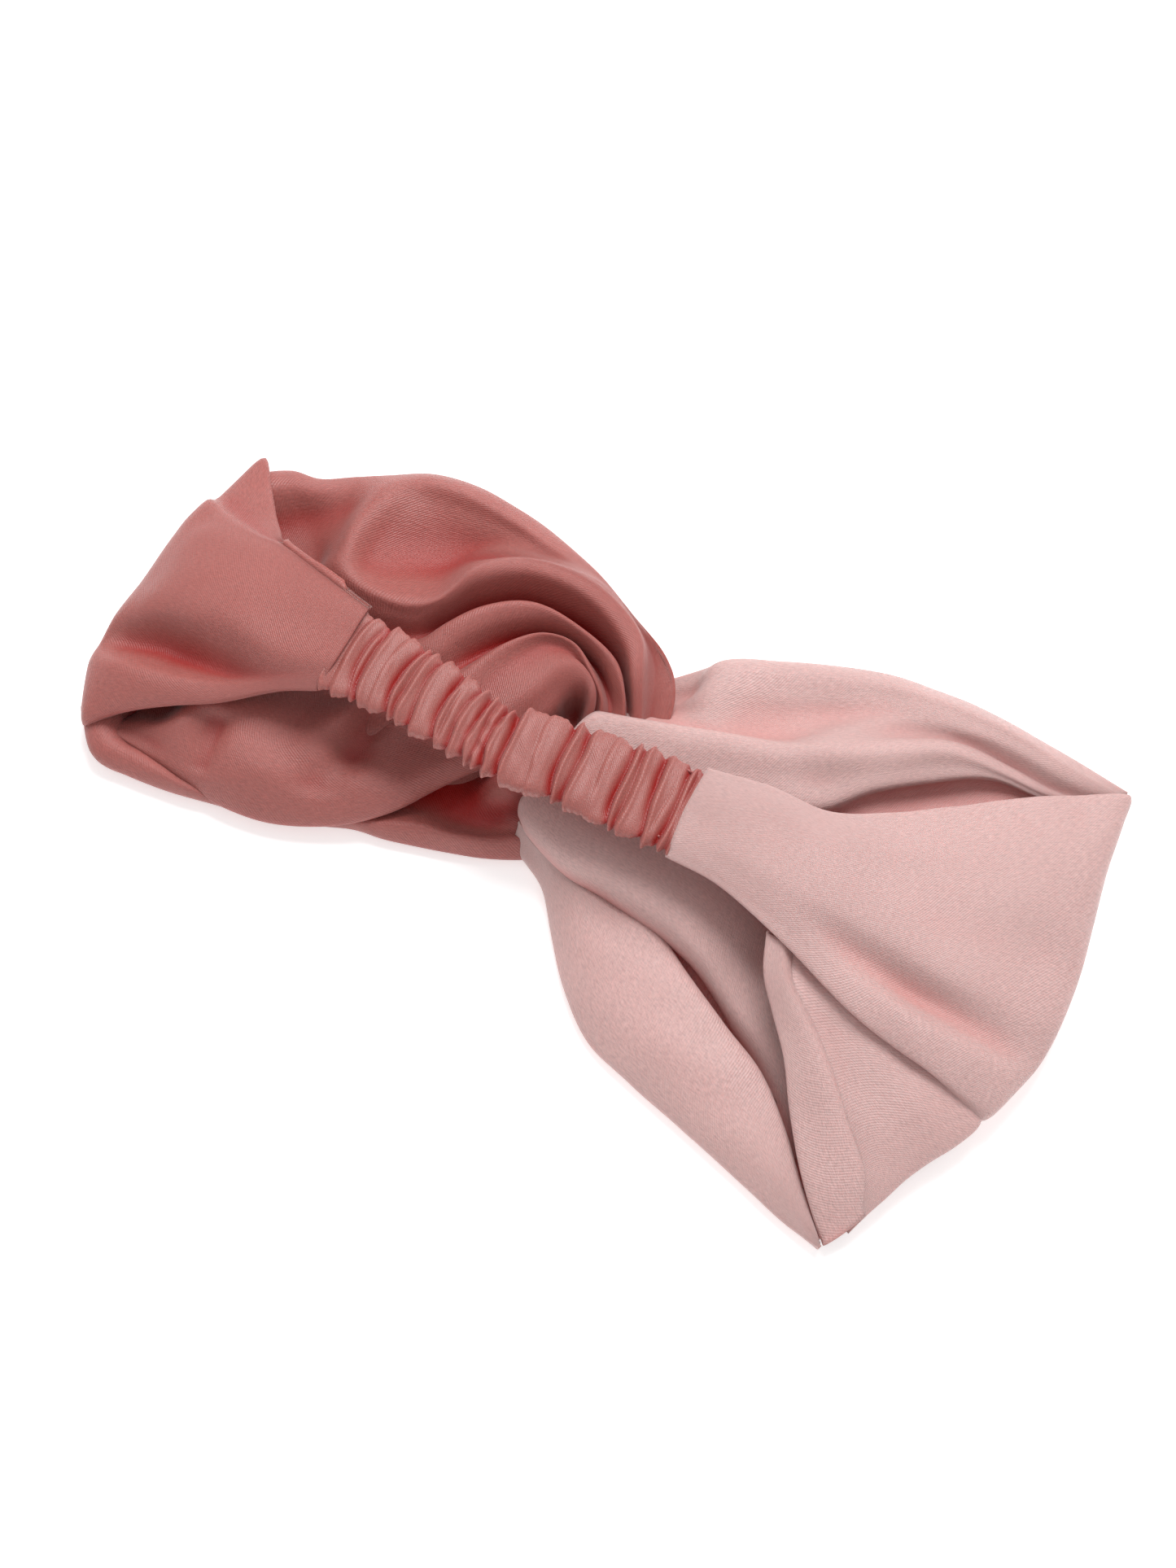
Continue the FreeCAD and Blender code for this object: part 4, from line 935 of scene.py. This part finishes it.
class HEADBAND_OT_pink_side(bpy.types.Operator, HeadbandOperator):
    """Make the pink side panel with its pleat and its turned hem"""
    bl_idname = "headband.pink_side"
    bl_label = "Pink side"

    def execute(self, context):
        material = pink_satin(context)
        for name, rails, seed, nodes in (("pink_side_cloth", PINK_SIDE, 21, ("pink_side_outer",)),
                                         ("pink_side_skirt", PINK_SKIRT, 22, ("pink_side_inner",)),
                                         ("pink_side_hem", PINK_HEM, 23, ())):
            piece = self.piece(context, name, self.sheet(context, rails, seed))
            dress(piece, material, nodes)
            bend_at_fold(piece)
        return {"FINISHED"}


class HEADBAND_OT_casing(bpy.types.Operator, HeadbandOperator):
    """Make the gathered casing that holds the elastic"""
    bl_idname = "headband.casing"
    bl_label = "Casing"

    def execute(self, context):
        colour = context.scene.headband_colours.casing
        material = satin("casing satin", colour, 0.12, 0.38, 0.5, fleck=0.7)
        made, painted_shade_amount = casing_sheet()
        piece = cloth("gathered_casing", made, 0.35 * MM, True, painted_shade_amount)
        dress(piece, material, ("casing_coral_half", "casing_pink_half"))
        stretch_with_casing(piece)
        strip = cloth("ribbed_elastic", elastic_sheet(), 0, True)
        dress(strip, woven_elastic(context), ("elastic_band",))
        stretch_with_casing(strip)
        return {"FINISHED"}


class HEADBAND_OT_thread(bpy.types.Operator, HeadbandOperator):
    """Give the sewing thread its finish"""
    bl_idname = "headband.thread"
    bl_label = "Thread"

    def execute(self, context):
        thread = twisted_thread(context)
        for name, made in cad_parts.items():
            if "seam" in name or "tack" in name:
                made.data.materials.clear()
                made.data.materials.append(thread)
        return {"FINISHED"}


class HEADBAND_OT_stage(bpy.types.Operator):
    """Make the floor, the soft lights and the camera"""
    bl_idname = "headband.stage"
    bl_label = "Stage"
    bl_options = {"REGISTER", "UNDO"}

    def execute(self, context):
        stage = context.scene.headband_stage
        bm = bmesh.new()
        bmesh.ops.create_grid(bm, x_segments=1, y_segments=1, size=FLOOR_HALF_WIDTH)
        mesh = bpy.data.meshes.new("floor")
        bm.to_mesh(mesh)
        bm.free()
        floor = bpy.data.objects.new("floor", mesh)
        context.scene.collection.objects.link(floor)
        paper = finish("white paper", Base_Color=(0.9, 0.9, 0.9, 1), Roughness=0.95,
                       Emission_Color=(1, 1, 1, 1), Emission_Strength=0.45)[0]
        mesh.materials.append(paper)

        world = bpy.data.worlds.new("soft room")
        world.use_nodes = True
        world.node_tree.nodes["Background"].inputs["Color"].default_value = (1, 1, 1, 1)
        world.node_tree.nodes["Background"].inputs["Strength"].default_value = stage.sky
        context.scene.world = world

        for name, power, size, spot in (("key", stage.key, 0.6, (-0.12, 0.62, 1.15)),
                                        ("fill", stage.key * 0.08, 0.9, (0.6, -0.5, 0.9))):
            lamp = bpy.data.lights.new(name, "AREA")
            lamp.energy, lamp.size = power, size
            light = bpy.data.objects.new(name, lamp)
            light.location = spot
            light.rotation_euler = (-Vector(spot)).to_track_quat("-Z", "Y").to_euler()
            context.scene.collection.objects.link(light)

        lens = bpy.data.cameras.new("camera")
        lens.lens, lens.sensor_width = stage.lens, 36.0
        lens.clip_start = 0.01
        camera = bpy.data.objects.new("camera", lens)
        eye, aim = Vector(stage.eye), Vector(stage.aim)
        camera.location = eye
        camera.rotation_euler = (aim - eye).to_track_quat("-Z", "Y").to_euler()
        context.scene.collection.objects.link(camera)
        bpy.context.scene.camera = camera
        context.scene.view_settings.view_transform = "Standard"
        return {"FINISHED"}


class HEADBAND_PT_panel(bpy.types.Panel):
    """Lists the headband's operators and settings"""
    bl_label = "Headband"
    bl_idname = "HEADBAND_PT_panel"
    bl_space_type = "VIEW_3D"
    bl_region_type = "UI"
    bl_category = "Headband"

    def draw(self, context):
        for name in STEPS:
            self.layout.operator("headband." + name)
        for group in (context.scene.headband_cloth, context.scene.headband_colours,
                      context.scene.headband_stage):
            for key in group.__annotations__:
                self.layout.prop(group, key)


STEPS = ("stage", "coral_front", "coral_side", "pink_front", "pink_side", "casing", "thread")
GROUPS = {"headband_cloth": HeadbandCloth, "headband_colours": HeadbandColours,
          "headband_stage": HeadbandStage}
CLASSES = (*GROUPS.values(), HEADBAND_OT_stage, HEADBAND_OT_coral_front, HEADBAND_OT_coral_side,
           HEADBAND_OT_pink_front, HEADBAND_OT_pink_side, HEADBAND_OT_casing,
           HEADBAND_OT_thread, HEADBAND_PT_panel)


def register():
    for made in CLASSES:
        bpy.utils.register_class(made)
    for name, group in GROUPS.items():
        setattr(bpy.types.Scene, name, PointerProperty(type=group))


def unregister():
    for name in GROUPS:
        delattr(bpy.types.Scene, name)
    for made in reversed(CLASSES):
        bpy.utils.unregister_class(made)


def main():
    """Builds the headband."""
    register()
    for name in STEPS:
        getattr(bpy.ops.headband, name)()


if __name__ == "__main__":
    main()
